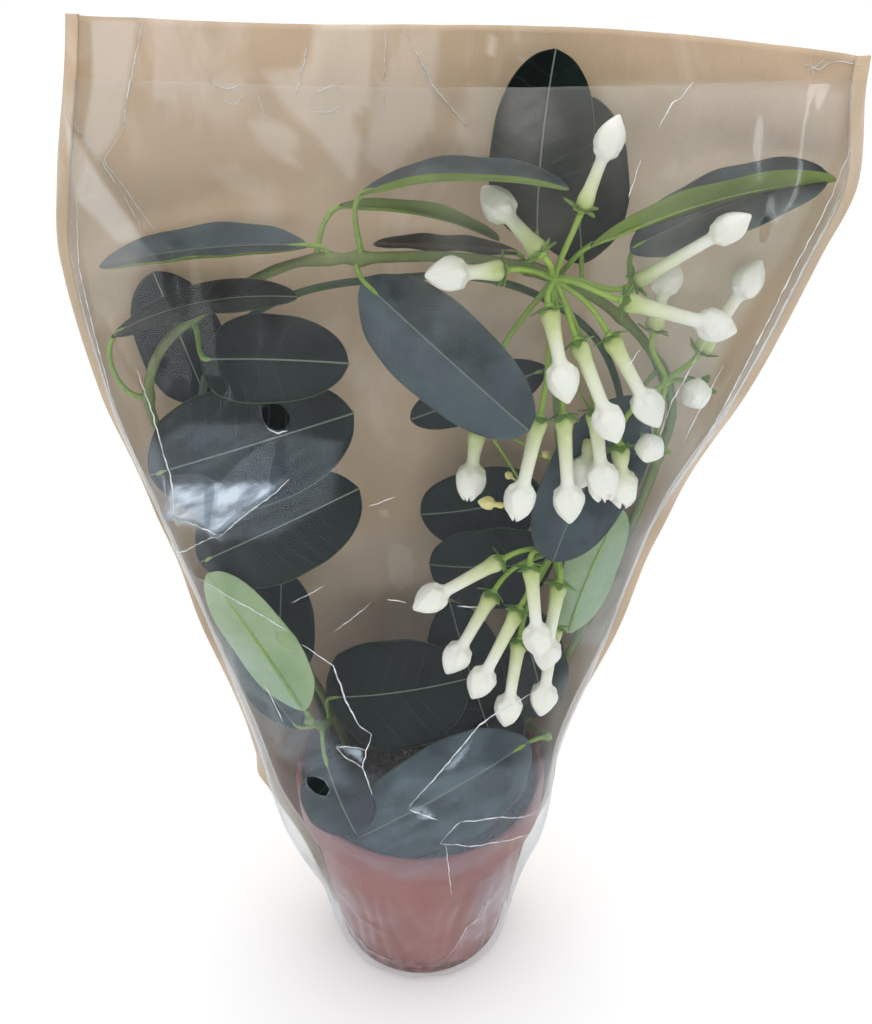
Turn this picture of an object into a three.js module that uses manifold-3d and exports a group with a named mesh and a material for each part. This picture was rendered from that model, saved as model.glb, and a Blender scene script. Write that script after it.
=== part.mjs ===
// Madagascar jasmine (Stephanotis floribunda) trained over a hoop, in its nursery pot and sales sleeve.
// Millimetres, +Z up. The origin is the middle of the pot's underside; the sleeve's clear side faces -Y.

import * as THREE from "three";
import { mergeVertices } from "three/addons/utils/BufferGeometryUtils.js";
import Module from "manifold-3d";

const wasm = await Module();
wasm.setup();

// ---- driving dimensions -------------------------------------------------------------------------

const SEAT_GAP = 0.35; // clearance between pieces that touch
const STALK_GAP = 0.6; // and between a stalk's foot and the round bark that it sits on

const POT_HEIGHT = 118;
const POT_RIM_RADIUS = 65.5;
const POT_RIM_BAND = 20; // height of the rim band
const POT_STEP = 4.5; // how far the rim band stands out from the wall
const POT_BASE_RADIUS = 46;
const POT_WALL = 2.6;
const POT_FLOOR = 3;
const DRAIN_HOLES = 4;
const DRAIN_HOLE_RADIUS = 5;
const DRAIN_HOLE_RING = 31;

const SOIL_TOP = 103;
const SOIL_MOUND = 4;
const SOIL_ROUGHNESS = 1.3;
const SOIL_HOLE_CLEARANCE = 1.4; // round each stem and leg that stands in the soil
const SOIL_HOLE_HEIGHT = 60;
const FACET_SAG = 0.2; // how far the flats of the pot's round wall lie inside its true circle

const HOOP_RADIUS = 1.6;
const STEM_RADIUS = 2.1;
const SHOOT_RADIUS = 1.6;
const PETIOLE_RADIUS = 1.15;
const PEDUNCLE_RADIUS = 1.6;
const PEDICEL_RADIUS = 0.95;

const LEAF_THICKNESS = 0.9;
const LEAF_FOLD = 0.14; // rise of a blade's halves from the midrib, per millimetre of width

const CALYX_RADIUS = 2.3;
const CALYX_HEIGHT = 2.4;
const SEPAL_LENGTH = 4.6;
const CUP_DEPTH = 0.5; // how far the cup's hollow lies below the foot of the bud
const SEPAL_LIFT = 1; // how far the sepals' tips rise
const SEPAL_THICKNESS = 0.7;

const SHEET_THICKNESS = 0.6;
const VENT_RADIUS = 5.5;
const PUNCH_LENGTH = 24;

// ---- colours and finishes -----------------------------------------------------------------------

const finish = (color, roughness) => new THREE.MeshStandardMaterial({ color, roughness, metalness: 0 });

const POT_PLASTIC = finish(0x9c6257, 0.55);
const SOIL = finish(0x3a2d24, 0.95);
const HOOP_COATING = finish(0x2c4a2b, 0.5);
const STEM_GREEN = finish(0x6f8a3c, 0.6);
const LEAF_GREEN = finish(0x23362c, 0.35);
const PETAL_WHITE = finish(0xf1f1e2, 0.45);
const STALK_GREEN = finish(0x86a83c, 0.5);
const KRAFT = finish(0xb08f6c, 0.7);
const FILM = new THREE.MeshStandardMaterial({
  color: 0xeef2f2, roughness: 0.08, metalness: 0, transparent: true, opacity: 0.25,
});

// ---- small helpers ------------------------------------------------------------------------------

const vec = ([x, y, z]) => new THREE.Vector3(x, y, z);
const { lerp, clamp } = THREE.MathUtils;
const plant = new THREE.Group();

function add(name, geometry, material) {
  const mesh = new THREE.Mesh(geometry, material);
  mesh.name = name;
  plant.add(mesh);
}

/** A geometry from a list of points and a list of triangles. */
function shell(points, triangles) {
  const geometry = new THREE.BufferGeometry();
  const places = points.flatMap((point) => point.toArray());
  geometry.setAttribute("position", new THREE.Float32BufferAttribute(places, 3));
  geometry.setIndex(triangles.flat());
  return geometry;
}

/** A closed body through rings of points, all with the same number of points, capped at both ends. */
function loft(rings) {
  const count = rings[0].length;
  const triangles = [];
  for (let k = 0; k + 1 < rings.length; k++) {
    for (let i = 0; i < count; i++) {
      const j = (i + 1) % count;
      const [a, b, c, d] = [k * count + i, k * count + j, (k + 1) * count + j, (k + 1) * count + i];
      // The first half of a ring is the upper face and the second the lower one. Both are split the
      // same way, so that a thin bent blade never crosses itself.
      if (i < count / 2) triangles.push([a, b, c], [a, c, d]);
      else triangles.push([a, b, d], [b, c, d]);
    }
  }
  const last = (rings.length - 1) * count;
  for (let i = 1; i + 1 < count; i++) {
    triangles.push([0, i + 1, i], [last, last + i, last + i + 1]);
  }
  return shell(rings.flat(), triangles);
}

/** A geometry as the solid that manifold-3d joins and cuts. */
function solid(geometry) {
  const plain = geometry.clone();
  plain.deleteAttribute("normal");
  plain.deleteAttribute("uv");
  plain.clearGroups();
  const merged = mergeVertices(plain, 1e-4);
  return new wasm.Manifold(new wasm.Mesh({
    numProp: 3,
    vertProperties: new Float32Array(merged.attributes.position.array),
    triVerts: new Uint32Array(merged.index.array),
  }));
}

function fromSolid(body) {
  const mesh = body.getMesh();
  const geometry = new THREE.BufferGeometry();
  geometry.setAttribute("position", new THREE.BufferAttribute(Float32Array.from(mesh.vertProperties), 3));
  geometry.setIndex(new THREE.BufferAttribute(Uint32Array.from(mesh.triVerts), 1));
  return geometry;
}

const join = (geometries) => geometries.map(solid).reduce((whole, part) => whole.add(part));

/** A round bar along a curve. */
function bar(curve, radius, sides, steps) {
  const section = new THREE.Shape();
  for (let i = 0; i < sides; i++) {
    const angle = (2 * Math.PI * i) / sides;
    const corner = [radius * Math.cos(angle), radius * Math.sin(angle)];
    if (i === 0) section.moveTo(...corner);
    else section.lineTo(...corner);
  }
  section.closePath();
  return new THREE.ExtrudeGeometry(section, { steps, bevelEnabled: false, extrudePath: curve });
}

const route = (points) => new THREE.CatmullRomCurve3(points.map(vec), false, "centripetal");

// ---- pot ----------------------------------------------------------------------------------------

const POT_SEGMENTS = 32;
const BAND_BOTTOM = POT_HEIGHT - POT_RIM_BAND;
const WALL_TOP_RADIUS = POT_RIM_RADIUS - POT_STEP;
const MOUTH_RADIUS = POT_RIM_RADIUS - POT_WALL - 0.6;

const wallRadius = (z) => lerp(POT_BASE_RADIUS, WALL_TOP_RADIUS, z / BAND_BOTTOM);

function potGeometry() {
  const profile = [
    [0, 0],
    [POT_BASE_RADIUS - 1.2, 0],
    [POT_BASE_RADIUS, 2],
    [WALL_TOP_RADIUS, BAND_BOTTOM],
    [POT_RIM_RADIUS - 0.6, BAND_BOTTOM + 1],
    [POT_RIM_RADIUS, POT_HEIGHT - 3],
    [POT_RIM_RADIUS - 0.8, POT_HEIGHT],
    [MOUTH_RADIUS, POT_HEIGHT],
    [MOUTH_RADIUS - 0.6, BAND_BOTTOM + 4],
    [wallRadius(BAND_BOTTOM) - POT_WALL, BAND_BOTTOM - 4],
    [wallRadius(POT_FLOOR) - POT_WALL, POT_FLOOR],
    [0, POT_FLOOR],
  ].map(([radius, z]) => new THREE.Vector2(radius, z));
  let pot = solid(new THREE.LatheGeometry(profile, POT_SEGMENTS).rotateX(Math.PI / 2));
  for (let i = 0; i < DRAIN_HOLES; i++) {
    const angle = (2 * Math.PI * (i + 0.5)) / DRAIN_HOLES;
    const drill = new THREE.CylinderGeometry(DRAIN_HOLE_RADIUS, DRAIN_HOLE_RADIUS, 4 * POT_FLOOR, 16)
      .rotateX(Math.PI / 2)
      .translate(DRAIN_HOLE_RING * Math.cos(angle), DRAIN_HOLE_RING * Math.sin(angle), 0);
    pot = pot.subtract(solid(drill));
  }
  return fromSolid(pot);
}

add("pot", potGeometry(), POT_PLASTIC);

// ---- hoop and stems -----------------------------------------------------------------------------

const ROOT_DEPTH = 88; // height at which the hoop's legs and the stem's ends stop in the soil

// The hoop stands in the soil at both ends; the stem is trained along its outside.
const hoopRoute = route([
  [-48, 18, ROOT_DEPTH], [-48, 18, 112], [-56, 17, 155], [-74, 13, 220], [-88, 7, 275], [-93, 3, 315],
  [-88, 2, 348], [-70, 4, 371], [-45, 6, 383], [-10, 7, 388], [25, 8, 388], [52, 11, 378], [76, 14, 358],
  [90, 15, 325], [90, 15, 285], [78, 17, 225], [63, 19, 165], [50, 20, 112], [49, 20, ROOT_DEPTH],
]);

const stemRoute = route([
  [-38, 8, ROOT_DEPTH], [-38, 8, 112], [-46, 9, 146], [-64, 6, 195], [-86, 2, 250], [-102, -1, 300],
  [-113, -2, 335], [-105, -1, 360], [-80, 3, 380], [-48, 3, 396], [-20, -4, 401], [14, -3, 401],
  [46, 0, 395], [74, 4, 380], [97, 6, 358], [110, 6, 330], [105, 6, 295], [94, 7, 250], [81, 8, 205],
  [61, 10, 150], [42, 10, 112], [41, 10, ROOT_DEPTH],
]);

// Side shoots grow out of the stem: the first point of each lies inside it.
const shootRoutes = {
  shoot_left: route([[-46, 9, 146], [-47, -8, 154], [-50, -26, 172], [-52, -34, 182]]),
  shoot_inner: route([[81, 8, 205], [74, 12, 225], [68, 14, 260], [64, 15, 300], [60, 15, 338]]),
  shoot_right: route([[54, 10, 136], [62, -5, 146], [64, -20, 157]]),
};

const STEM_STEPS = 44;
const SHOOT_STEPS = 6;
const stems = { stem: { curve: stemRoute, radius: STEM_RADIUS, sides: 8, steps: STEM_STEPS } };
for (const [name, curve] of Object.entries(shootRoutes)) {
  stems[name] = { curve, radius: SHOOT_RADIUS, sides: 6, steps: SHOOT_STEPS };
}

/** Where a stalk leaves a stem: a point just off its bark, and the way out. */
function seat(stemName, near, towards) {
  const { curve, radius, steps } = stems[stemName];
  const target = vec(near);
  // A stem is a row of straight stretches between these points, and the seat lies on the nearest one.
  const knots = curve.getSpacedPoints(steps);
  const stretches = knots.slice(1).map((knot, i) => new THREE.Line3(knots[i], knot));
  const closest = (stretch) => stretch.closestPointToPoint(target, true, new THREE.Vector3());
  const away = (stretch) => closest(stretch).distanceTo(target);
  const nearest = stretches.reduce((best, stretch) => (away(stretch) < away(best) ? stretch : best));
  const centre = closest(nearest);
  const along = nearest.delta(new THREE.Vector3()).normalize();
  const out = vec(towards).sub(centre);
  out.addScaledVector(along, -out.dot(along)).normalize();
  return { start: centre.addScaledVector(out, radius + STALK_GAP), out };
}

/** A stalk from its seat to an end point, arriving along the given direction. */
function stalk({ start, out }, end, arriving, radius, sides, steps) {
  const reach = start.distanceTo(end) * 0.4;
  const curve = new THREE.CubicBezierCurve3(
    start,
    start.clone().addScaledVector(out, reach),
    end.clone().addScaledVector(arriving, -reach),
    end,
  );
  return bar(curve, radius, sides, steps);
}

add("hoop", bar(hoopRoute, HOOP_RADIUS, 6, 44), HOOP_COATING);
const vineBars = Object.values(stems)
  .map(({ curve, radius, sides, steps }) => bar(curve, radius, sides, steps));
add("vine", fromSolid(join(vineBars)), STEM_GREEN);

// ---- soil ---------------------------------------------------------------------------------------

/** The body of soil, mounded and rough on top, with a plain hole round each leg and stem. */
function soilGeometry() {
  const segments = 30;
  const rings = [];
  const ring = (radius, height) => {
    const points = [];
    for (let i = 0; i < segments; i++) {
      const angle = (2 * Math.PI * i) / segments;
      points.push(vec([radius * Math.cos(angle), radius * Math.sin(angle), height(angle)]));
    }
    rings.push(points);
  };
  const floor = POT_FLOOR + SEAT_GAP;
  const step = BAND_BOTTOM - 4;
  for (const z of [floor, step]) ring(wallRadius(z) - POT_WALL - SEAT_GAP - FACET_SAG, () => z);
  const mouth = MOUTH_RADIUS - 2;
  for (const radius of [mouth, mouth * 0.82, mouth * 0.6, mouth * 0.36, mouth * 0.14]) {
    const rough = radius < mouth ? SOIL_ROUGHNESS : 0;
    ring(radius, (angle) => SOIL_TOP + SOIL_MOUND * (1 - (radius / mouth) ** 2)
      + rough * Math.sin(5 * angle + radius) * Math.cos(3 * angle - 0.3 * radius));
  }
  let soil = solid(loft(rings));
  const holeRadius = STEM_RADIUS + SOIL_HOLE_CLEARANCE;
  for (const curve of [hoopRoute, stemRoute]) {
    for (const end of [curve.getPoint(0), curve.getPoint(1)]) {
      const hole = new THREE.CylinderGeometry(holeRadius, holeRadius, SOIL_HOLE_HEIGHT, 12)
        .rotateX(Math.PI / 2)
        .translate(end.x, end.y, ROOT_DEPTH - 1 + SOIL_HOLE_HEIGHT / 2);
      soil = soil.subtract(solid(hole));
    }
  }
  return fromSolid(soil);
}

add("soil", soilGeometry(), SOIL);

// ---- leaves -------------------------------------------------------------------------------------

// Each leaf: the stem that its stalk grows on and near which point, the blade's base and tip, the way
// its glossy side looks, its width, how far its middle rises (arch) and leans sideways (bend).
const leaves = {
  top_tall: { on: "stem", near: [46, 0, 395], base: [49, 14, 400], tip: [52, 12, 475],
    face: [0, -1, 0], width: 40, arch: 2, bend: 2 },
  top_dark: { on: "stem", near: [68, 3, 384], base: [69, 23, 388], tip: [63, 21, 457], face: [0, -1, 0],
    width: 40, arch: 0, bend: 1 },
  top_flat: { on: "stem", near: [-20, -4, 401], base: [-20, -9, 428], tip: [57, -15, 432],
    face: [0, 0, 1], width: 36, arch: 6, bend: 0 },
  top_under: { on: "stem", near: [-38, 0, 398], base: [-30, 13, 416], tip: [34, 18, 400],
    face: [0.2, 0.5, 0.9], width: 32, arch: 4, bend: 0 },
  top_thin: { on: "stem", near: [44, 0, 396], base: [42, 17, 395], tip: [-17, 16, 399], face: [0, 0.1, 1],
    width: 26, arch: 1, bend: 0 },
  left_high: { on: "stem", near: [-34, 0, 399], base: [-42, 1, 404], tip: [-123, -5, 398],
    face: [-0.1, -0.1, 1], width: 36, arch: 3, bend: 0 },
  left_cross: { on: "stem", near: [-113, -2, 338], base: [-123, -4, 368], tip: [-45, -19, 391],
    face: [-0.3, -0.1, 1], width: 28, arch: 6, bend: 0 },
  left_back: { on: "stem", near: [-105, -1, 312], base: [-91, 13, 326], tip: [-106, 9, 390],
    face: [0.2, -1, 0], width: 37, arch: 0, bend: 0 },
  left_upper: { on: "stem", near: [-90, 1, 372], base: [-87, -10, 360], tip: [-25, -35, 371],
    face: [-0.4, -0.7, 0.6], width: 36, arch: 4, bend: 0 },
  left_front: { on: "stem", near: [-99, -1, 290], base: [-116, -7, 303], tip: [-24, -36, 350],
    face: [-0.35, -0.9, 0.25], width: 52, arch: 3, bend: 0 },
  left_mid: { on: "stem", near: [-83, 3, 243], base: [-101, -2, 252], tip: [-24, -27, 309],
    face: [-0.45, -0.9, 0.05], width: 48, arch: 2, bend: 0 },
  left_pale: { on: "shoot_left", near: [-52, -34, 180], base: [-54, -35, 190], tip: [-96, -12, 253],
    face: [0.4, 0.9, -0.2], width: 36, arch: -3, bend: 4 },
  left_low_back: { on: "stem", near: [-58, 7, 178], base: [-71, -1, 175], tip: [-63, -6, 250],
    face: [0.1, -1, 0], width: 34, arch: 2, bend: 0 },
  left_low: { on: "shoot_left", near: [-49, -20, 166], base: [-60, -17, 160], tip: [-87, -9, 211],
    face: [-0.25, -0.95, 0], width: 25, arch: 2, bend: 0 },
  centre_low: { on: "shoot_left", near: [-47, -4, 152], base: [-46, -6, 171], tip: [24, -12, 189],
    face: [0, -0.95, 0.3], width: 60, arch: 5, bend: 0 },
  rim_left: { on: "shoot_left", near: [-49, -18, 164], base: [-46, -30, 152], tip: [-31, -49, 120],
    face: [-0.3, -0.7, 0.6], width: 38, arch: 3, bend: 0 },
  front_low: { on: "shoot_right", near: [64, -19, 156], base: [54, -26, 160], tip: [-31, -46, 113],
    face: [0, -0.85, 0.5], width: 50, arch: 7, bend: 0 },
  right_back_high: { on: "shoot_inner", near: [65, 15, 282], base: [58, 19, 277], tip: [1, 17, 266],
    face: [0, -1, 0.2], width: 40, arch: 5, bend: 0 },
  right_back_mid: { on: "shoot_inner", near: [70, 14, 250], base: [64, 8, 246], tip: [5, 6, 245],
    face: [0.1, -1, 0.05], width: 46, arch: 4, bend: 0 },
  right_low_left: { on: "stem", near: [49, 10, 115], base: [42, 0, 122], tip: [15, 6, 222],
    face: [0, -1, 0.1], width: 43, arch: 8, bend: 0 },
  right_low_right: { on: "stem", near: [69, 9, 172], base: [63, -6, 158], tip: [46, -7, 230],
    face: [0.4, -0.9, 0.1], width: 34, arch: 4, bend: 0 },
  right_front: { on: "stem", near: [103, 6, 347], base: [95, 0, 337], tip: [60, -22, 267],
    face: [0.15, -1, 0.2], width: 42, arch: 1, bend: -4 },
  right_pale: { on: "stem", near: [84, 8, 215], base: [72, -6, 213], tip: [91, -4, 284],
    face: [0, 1, 0], width: 26, arch: -3, bend: -3 },
  right_arch: { on: "stem", near: [57, 1, 391], base: [67, -12, 409], tip: [158, -4, 432],
    face: [-0.2, 0.62, 0.76], width: 30, arch: 5, bend: 0 },
  right_dark: { on: "stem", near: [84, 5, 372], base: [86, 10, 395], tip: [153, 3, 422],
    face: [-0.3, -0.1, 0.9], width: 32, arch: 2, bend: 0 },
  small_behind: { on: "shoot_inner", near: [60, 15, 336], base: [56, 14, 344], tip: [-3, 8, 322],
    face: [0, -0.9, 0.4], width: 22, arch: 2, bend: 0 },
  centre: { on: "stem", near: [-22, -4, 401], base: [-20, -12, 395], tip: [45, -38, 343],
    face: [-0.1, -0.9, 0.4], width: 38, arch: 4, bend: 0 },
};

// Stations along a blade: how far along it, and the share of the full width there.
const bladeOutline = [
  [0, 0.05], [0.06, 0.42], [0.2, 0.84], [0.42, 1], [0.66, 0.93], [0.85, 0.64], [0.96, 0.26], [1, 0.03],
];

function leafGeometry({ on, near, base, tip, face, width, arch, bend }) {
  const [foot, point] = [vec(base), vec(tip)];
  const length = foot.distanceTo(point);
  const along = point.clone().sub(foot).normalize();
  const normal = vec(face);
  normal.addScaledVector(along, -normal.dot(along)).normalize();
  const side = normal.clone().cross(along);
  const midrib = (t) => foot.clone()
    .addScaledVector(along, t * length)
    .addScaledVector(normal, 4 * arch * t * (1 - t))
    .addScaledVector(side, 4 * bend * t * (1 - t));
  const rings = bladeOutline.map(([t, share], k) => {
    const heading = midrib(t + 0.01).sub(midrib(t - 0.01)).normalize();
    const across = side.clone().addScaledVector(heading, -side.dot(heading)).normalize();
    const up = heading.clone().cross(across);
    const half = (share * width) / 2;
    const flatEnd = k === 0 || k === bladeOutline.length - 1;
    const rise = flatEnd ? 0 : half * LEAF_FOLD;
    const skin = LEAF_THICKNESS / 2;
    const place = (x, z) => midrib(t).addScaledVector(across, x).addScaledVector(up, z);
    return [
      place(half, rise + skin), place(0, skin), place(-half, rise + skin),
      place(-half, rise - skin), place(0, -skin), place(half, rise - skin),
    ];
  });
  const root = seat(on, near, base);
  const end = midrib(0.07).addScaledVector(normal, -0.3);
  const petiole = stalk(root, end, along, PETIOLE_RADIUS, 4, 3);
  return fromSolid(join([loft(rings), petiole]));
}

for (const [name, leaf] of Object.entries(leaves)) add(`leaf_${name}`, leafGeometry(leaf), LEAF_GREEN);

// ---- flower buds --------------------------------------------------------------------------------

// Each bunch grows on a stem and opens from a hub. Each bud: the top of its calyx and its tip.
const bunches = {
  upper: {
    on: "stem", near: [50, 0, 393], hub: [54, -9, 394],
    buds: [
      [[63, -12, 424], [73, -16, 459]],
      [[48, -14, 407], [26, 6, 426]],
      [[34, -16, 401], [4, -24, 402]],
      [[52, -18, 386], [60, -34, 353]],
      [[64, -18, 372], [81, -34, 335]],
      [[77, -16, 373], [98, -28, 339]],
      [[81, -15, 388], [127, -15, 375]],
      [[87, -4, 391], [124, -20, 424]],
      [[50, -24, 341], [41, -38, 300]],
      [[60, -22, 341], [64, -37, 298]],
      [[73, -19, 342], [78, -34, 307]],
      [[26, -4, 324], [22, -14, 294]],
    ],
  },
  side: {
    on: "stem", near: [109, 6, 344], hub: [104, -4, 347],
    buds: [
      [[117, -2, 360], [137, 2, 398]],
      [[120, 4, 340], [113, -18, 347]],
      [[97, -1, 369], [102, 6, 399]],
      [[85, -18, 324], [88, -25, 298]],
      [[100, -12, 320], [94, -31, 331]],
    ],
  },
  lower: {
    on: "shoot_inner", near: [68, 14, 264], hub: [62, -10, 264],
    buds: [
      [[37, -22, 268], [-2, -34, 250]],
      [[34, -19, 247], [13, -32, 210]],
      [[46, -22, 240], [25, -37, 199]],
      [[50, -24, 266], [55, -38, 225]],
      [[64, -18, 252], [58, -30, 210]],
      [[47, -22, 222], [41, -36, 180]],
      [[64, -15, 224], [58, -31, 182]],
    ],
  },
};

// The bud's profile: distances from the tip for the head, from the calyx for the tube's foot.
const budHead = [[0, 0.5], [3.2, 3.4], [7.5, 6.6], [11, 6.3], [15, 3.4]];
const budFoot = [[9, 2.7], [4, 3.7], [0, 2.6]];
const BUD_SIDES = 10;
const YOUNG_BUD_LENGTH = 26; // a bud shorter than this is shorter in every stretch
const BUD_RIDGE = 0.09; // how far the head's five ridges stand out, as a share of its radius

function budGeometry([calyx, tip]) {
  const foot = vec(calyx);
  const axis = vec(tip).sub(foot);
  const length = axis.length();
  const size = Math.min(1, length / YOUNG_BUD_LENGTH);
  axis.normalize();
  const turn = new THREE.Quaternion().setFromUnitVectors(vec([0, 0, 1]), axis);
  const stations = [
    ...budFoot.map(([s, radius]) => [s * size + SEAT_GAP, radius * size, 0]).reverse(),
    ...budHead.map(([s, radius]) => [length - s * size, radius, BUD_RIDGE]).reverse(),
  ];
  const rings = stations.map(([s, radius, ridge]) => {
    const points = [];
    for (let i = 0; i < BUD_SIDES; i++) {
      const angle = (2 * Math.PI * i) / BUD_SIDES;
      const out = radius * (1 + ridge * Math.cos(5 * angle));
      points.push(vec([out * Math.cos(angle), out * Math.sin(angle), s]).applyQuaternion(turn).add(foot));
    }
    return points;
  });
  return loft(rings);
}

/** The green calyx below the foot of a bud: a small cup that opens in five pointed sepals. */
function calyxGeometry([calyx, tip]) {
  const foot = vec(calyx);
  const turn = new THREE.Quaternion().setFromUnitVectors(vec([0, 0, 1]), vec(tip).sub(foot).normalize());
  // Every other point of a ring is a sepal's tip, which stands out and forward.
  const star = (notchRadius, notchHeight, tipRadius, tipHeight) => {
    const points = [];
    for (let i = 0; i < 10; i++) {
      const angle = (Math.PI * i) / 5;
      const [radius, z] = i % 2 ? [notchRadius, notchHeight] : [tipRadius, tipHeight];
      const place = vec([radius * Math.cos(angle), radius * Math.sin(angle), z]);
      points.push(place.applyQuaternion(turn).add(foot));
    }
    return points;
  };
  const reach = CALYX_RADIUS + SEPAL_LENGTH;
  return loft([
    star(PEDICEL_RADIUS + 0.15, -CALYX_HEIGHT, PEDICEL_RADIUS + 0.15, -CALYX_HEIGHT),
    star(CALYX_RADIUS, -CUP_DEPTH - SEPAL_THICKNESS, reach, SEPAL_LIFT),
    star(CALYX_RADIUS, -CUP_DEPTH, reach, SEPAL_LIFT + SEPAL_THICKNESS),
    star(CALYX_RADIUS * 0.6, -CUP_DEPTH, CALYX_RADIUS * 0.6, -CUP_DEPTH),
  ]);
}

function bunchGeometry({ on, near, hub, buds }) {
  const root = seat(on, near, hub);
  const centre = vec(hub);
  const parts = [stalk(root, centre, centre.clone().sub(root.start).normalize(), PEDUNCLE_RADIUS, 6, 3)];
  parts.push(new THREE.IcosahedronGeometry(PEDUNCLE_RADIUS * 1.35).translate(...hub));
  for (const bud of buds) {
    const foot = vec(bud[0]);
    const axis = vec(bud[1]).sub(foot).normalize();
    const end = foot.clone().addScaledVector(axis, 0.3 - CALYX_HEIGHT);
    const out = end.clone().sub(centre).normalize();
    parts.push(stalk({ start: centre, out }, end, axis, PEDICEL_RADIUS, 4, 3), calyxGeometry(bud));
  }
  return fromSolid(join(parts));
}

for (const [name, bunch] of Object.entries(bunches)) {
  add(`bunch_${name}`, bunchGeometry(bunch), STALK_GREEN);
  bunch.buds.forEach((bud, i) => add(`bud_${name}_${i + 1}`, budGeometry(bud), PETAL_WHITE));
}

// ---- sales sleeve -------------------------------------------------------------------------------

const SLEEVE_BOTTOM = 3;

// The sleeve's section at each height: its side seams, how far the film stands out in front and the
// paper behind, and the width of the flap outside each seam.
const sleeveKeys = [
  { z: SLEEVE_BOTTOM, left: -49, right: 49, front: 49, back: 49, leftFlap: 3, rightFlap: 2 },
  { z: 52, left: -58, right: 56, front: 57.5, back: 57.5, leftFlap: 6, rightFlap: 1 },
  { z: 96, left: -74, right: 68, front: 66.3, back: 66.3, leftFlap: 8, rightFlap: 3 },
  { z: 108, left: -77, right: 69.5, front: 66.8, back: 66.8, leftFlap: 10, rightFlap: 2.5 },
  { z: 124, left: -80, right: 70, front: 67.5, back: 66.5, leftFlap: 7, rightFlap: 3 },
  { z: 150, left: -85, right: 74.5, front: 66, back: 62, leftFlap: 6, rightFlap: 4 },
  { z: 200, left: -97, right: 89, front: 61, back: 54, leftFlap: 5.5, rightFlap: 5 },
  { z: 285, left: -117, right: 110, front: 57, back: 48, leftFlap: 3, rightFlap: 6 },
  { z: 340, left: -130, right: 135, front: 55, back: 46, leftFlap: 4, rightFlap: 5.5 },
  { z: 400, left: -135, right: 155, front: 49, back: 44, leftFlap: 4.5, rightFlap: 4.5 },
  { z: 430, left: -130, right: 163, front: 43, back: 42, leftFlap: 5, rightFlap: 5 },
  { z: 468, left: -121, right: 158, front: 28, back: 38, leftFlap: 5, rightFlap: 6 },
  { z: 492, left: -116, right: 158, front: 26, back: 37, leftFlap: 5, rightFlap: 5 },
];
const ROUND_BELOW = 104; // the section is round up to here
const LENS_ABOVE = 200; // and lens-shaped from here up
const FILM_TOP = 467;
const FILM_CROWN = 5; // the film's edge is this much higher in the middle
const PAPER_TOP_LEFT = 489;
const PAPER_TOP_RIGHT = 475;
const SLEEVE_COLUMNS = 14;

function sleeveAt(z) {
  let k = 1;
  while (k < sleeveKeys.length - 1 && sleeveKeys[k].z < z) k++;
  const [low, high] = [sleeveKeys[k - 1], sleeveKeys[k]];
  const share = clamp((z - low.z) / (high.z - low.z), 0, 1);
  const section = {};
  for (const key of Object.keys(low)) section[key] = lerp(low[key], high[key], share);
  const roundness = clamp((z - ROUND_BELOW) / (LENS_ABOVE - ROUND_BELOW), 0, 1);
  section.exponent = lerp(0.5, 0.65, roundness);
  return section;
}

/** The share of a sheet's full depth at a place across the sleeve, from -1 to 1 between the seams. */
const bulge = (across, section) => Math.max(0, 1 - across ** 2) ** section.exponent;

/** One sheet of the sleeve: facing is -1 for the film in front and 1 for the paper behind. */
function sheetGeometry(facing, topAt) {
  const heights = sleeveKeys.map(({ z }) => z);
  const innerRows = [];
  const outerRows = [];
  for (let row = 0; row < heights.length - 1; row++) {
    const lastRow = row === heights.length - 2;
    const inner = [];
    for (let column = -1; column <= SLEEVE_COLUMNS + 1; column++) {
      const u = clamp(column / SLEEVE_COLUMNS, 0, 1);
      const z = lastRow ? topAt(u) : Math.min(heights[row], topAt(u) - 4);
      const s = sleeveAt(z);
      const across = -Math.cos(Math.PI * u);
      const x = (s.left + s.right + (s.right - s.left) * across) / 2;
      const depth = (facing < 0 ? s.front : s.back) * bulge(across, s);
      const flap = column < 0 ? -s.leftFlap : column > SLEEVE_COLUMNS ? s.rightFlap : 0;
      inner.push(vec([x + flap, facing * (depth + SEAT_GAP / 2), z]));
    }
    innerRows.push(inner);
    outerRows.push(inner.map((point, i) => {
      const before = inner[Math.max(0, i - 1)];
      const after = inner[Math.min(inner.length - 1, i + 1)];
      const [dx, dy] = [after.x - before.x, after.y - before.y];
      const size = Math.hypot(dx, dy);
      const out = vec([(-facing * dy) / size, (facing * dx) / size, 0]);
      return point.clone().addScaledVector(out, SHEET_THICKNESS);
    }));
  }
  const width = innerRows[0].length;
  const rows = innerRows.length;
  const points = [...innerRows.flat(), ...outerRows.flat()];
  const outer = width * rows;
  const triangles = [];
  const quad = (a, b, c, d) => {
    if (facing < 0) triangles.push([a, b, c], [a, c, d]);
    else triangles.push([a, c, b], [a, d, c]);
  };
  for (let row = 0; row + 1 < rows; row++) {
    for (let i = 0; i + 1 < width; i++) {
      const a = row * width + i;
      const [b, c, d] = [a + 1, a + width + 1, a + width];
      quad(outer + a, outer + b, outer + c, outer + d);
      if (facing < 0) triangles.push([a, c, b], [a, d, c]);
      else triangles.push([a, b, c], [a, c, d]);
    }
    const [left, right] = [row * width, row * width + width - 1];
    quad(left, outer + left, outer + left + width, left + width);
    quad(outer + right, right, right + width, outer + right + width);
  }
  const top = (rows - 1) * width;
  for (let i = 0; i + 1 < width; i++) {
    quad(i, i + 1, outer + i + 1, outer + i);
    quad(outer + top + i, outer + top + i + 1, top + i + 1, top + i);
  }
  return shell(points, triangles);
}

// Vent holes punched square through the film, each at a place across the sleeve and a height.
const vents = [[-52, 356], [-55, 247], [-46, 162], [127, 421]];

/** How far the film stands out in front. */
function filmDepth(x, z) {
  const s = sleeveAt(z);
  return s.front * bulge((2 * x - s.left - s.right) / (s.right - s.left), s);
}

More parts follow.
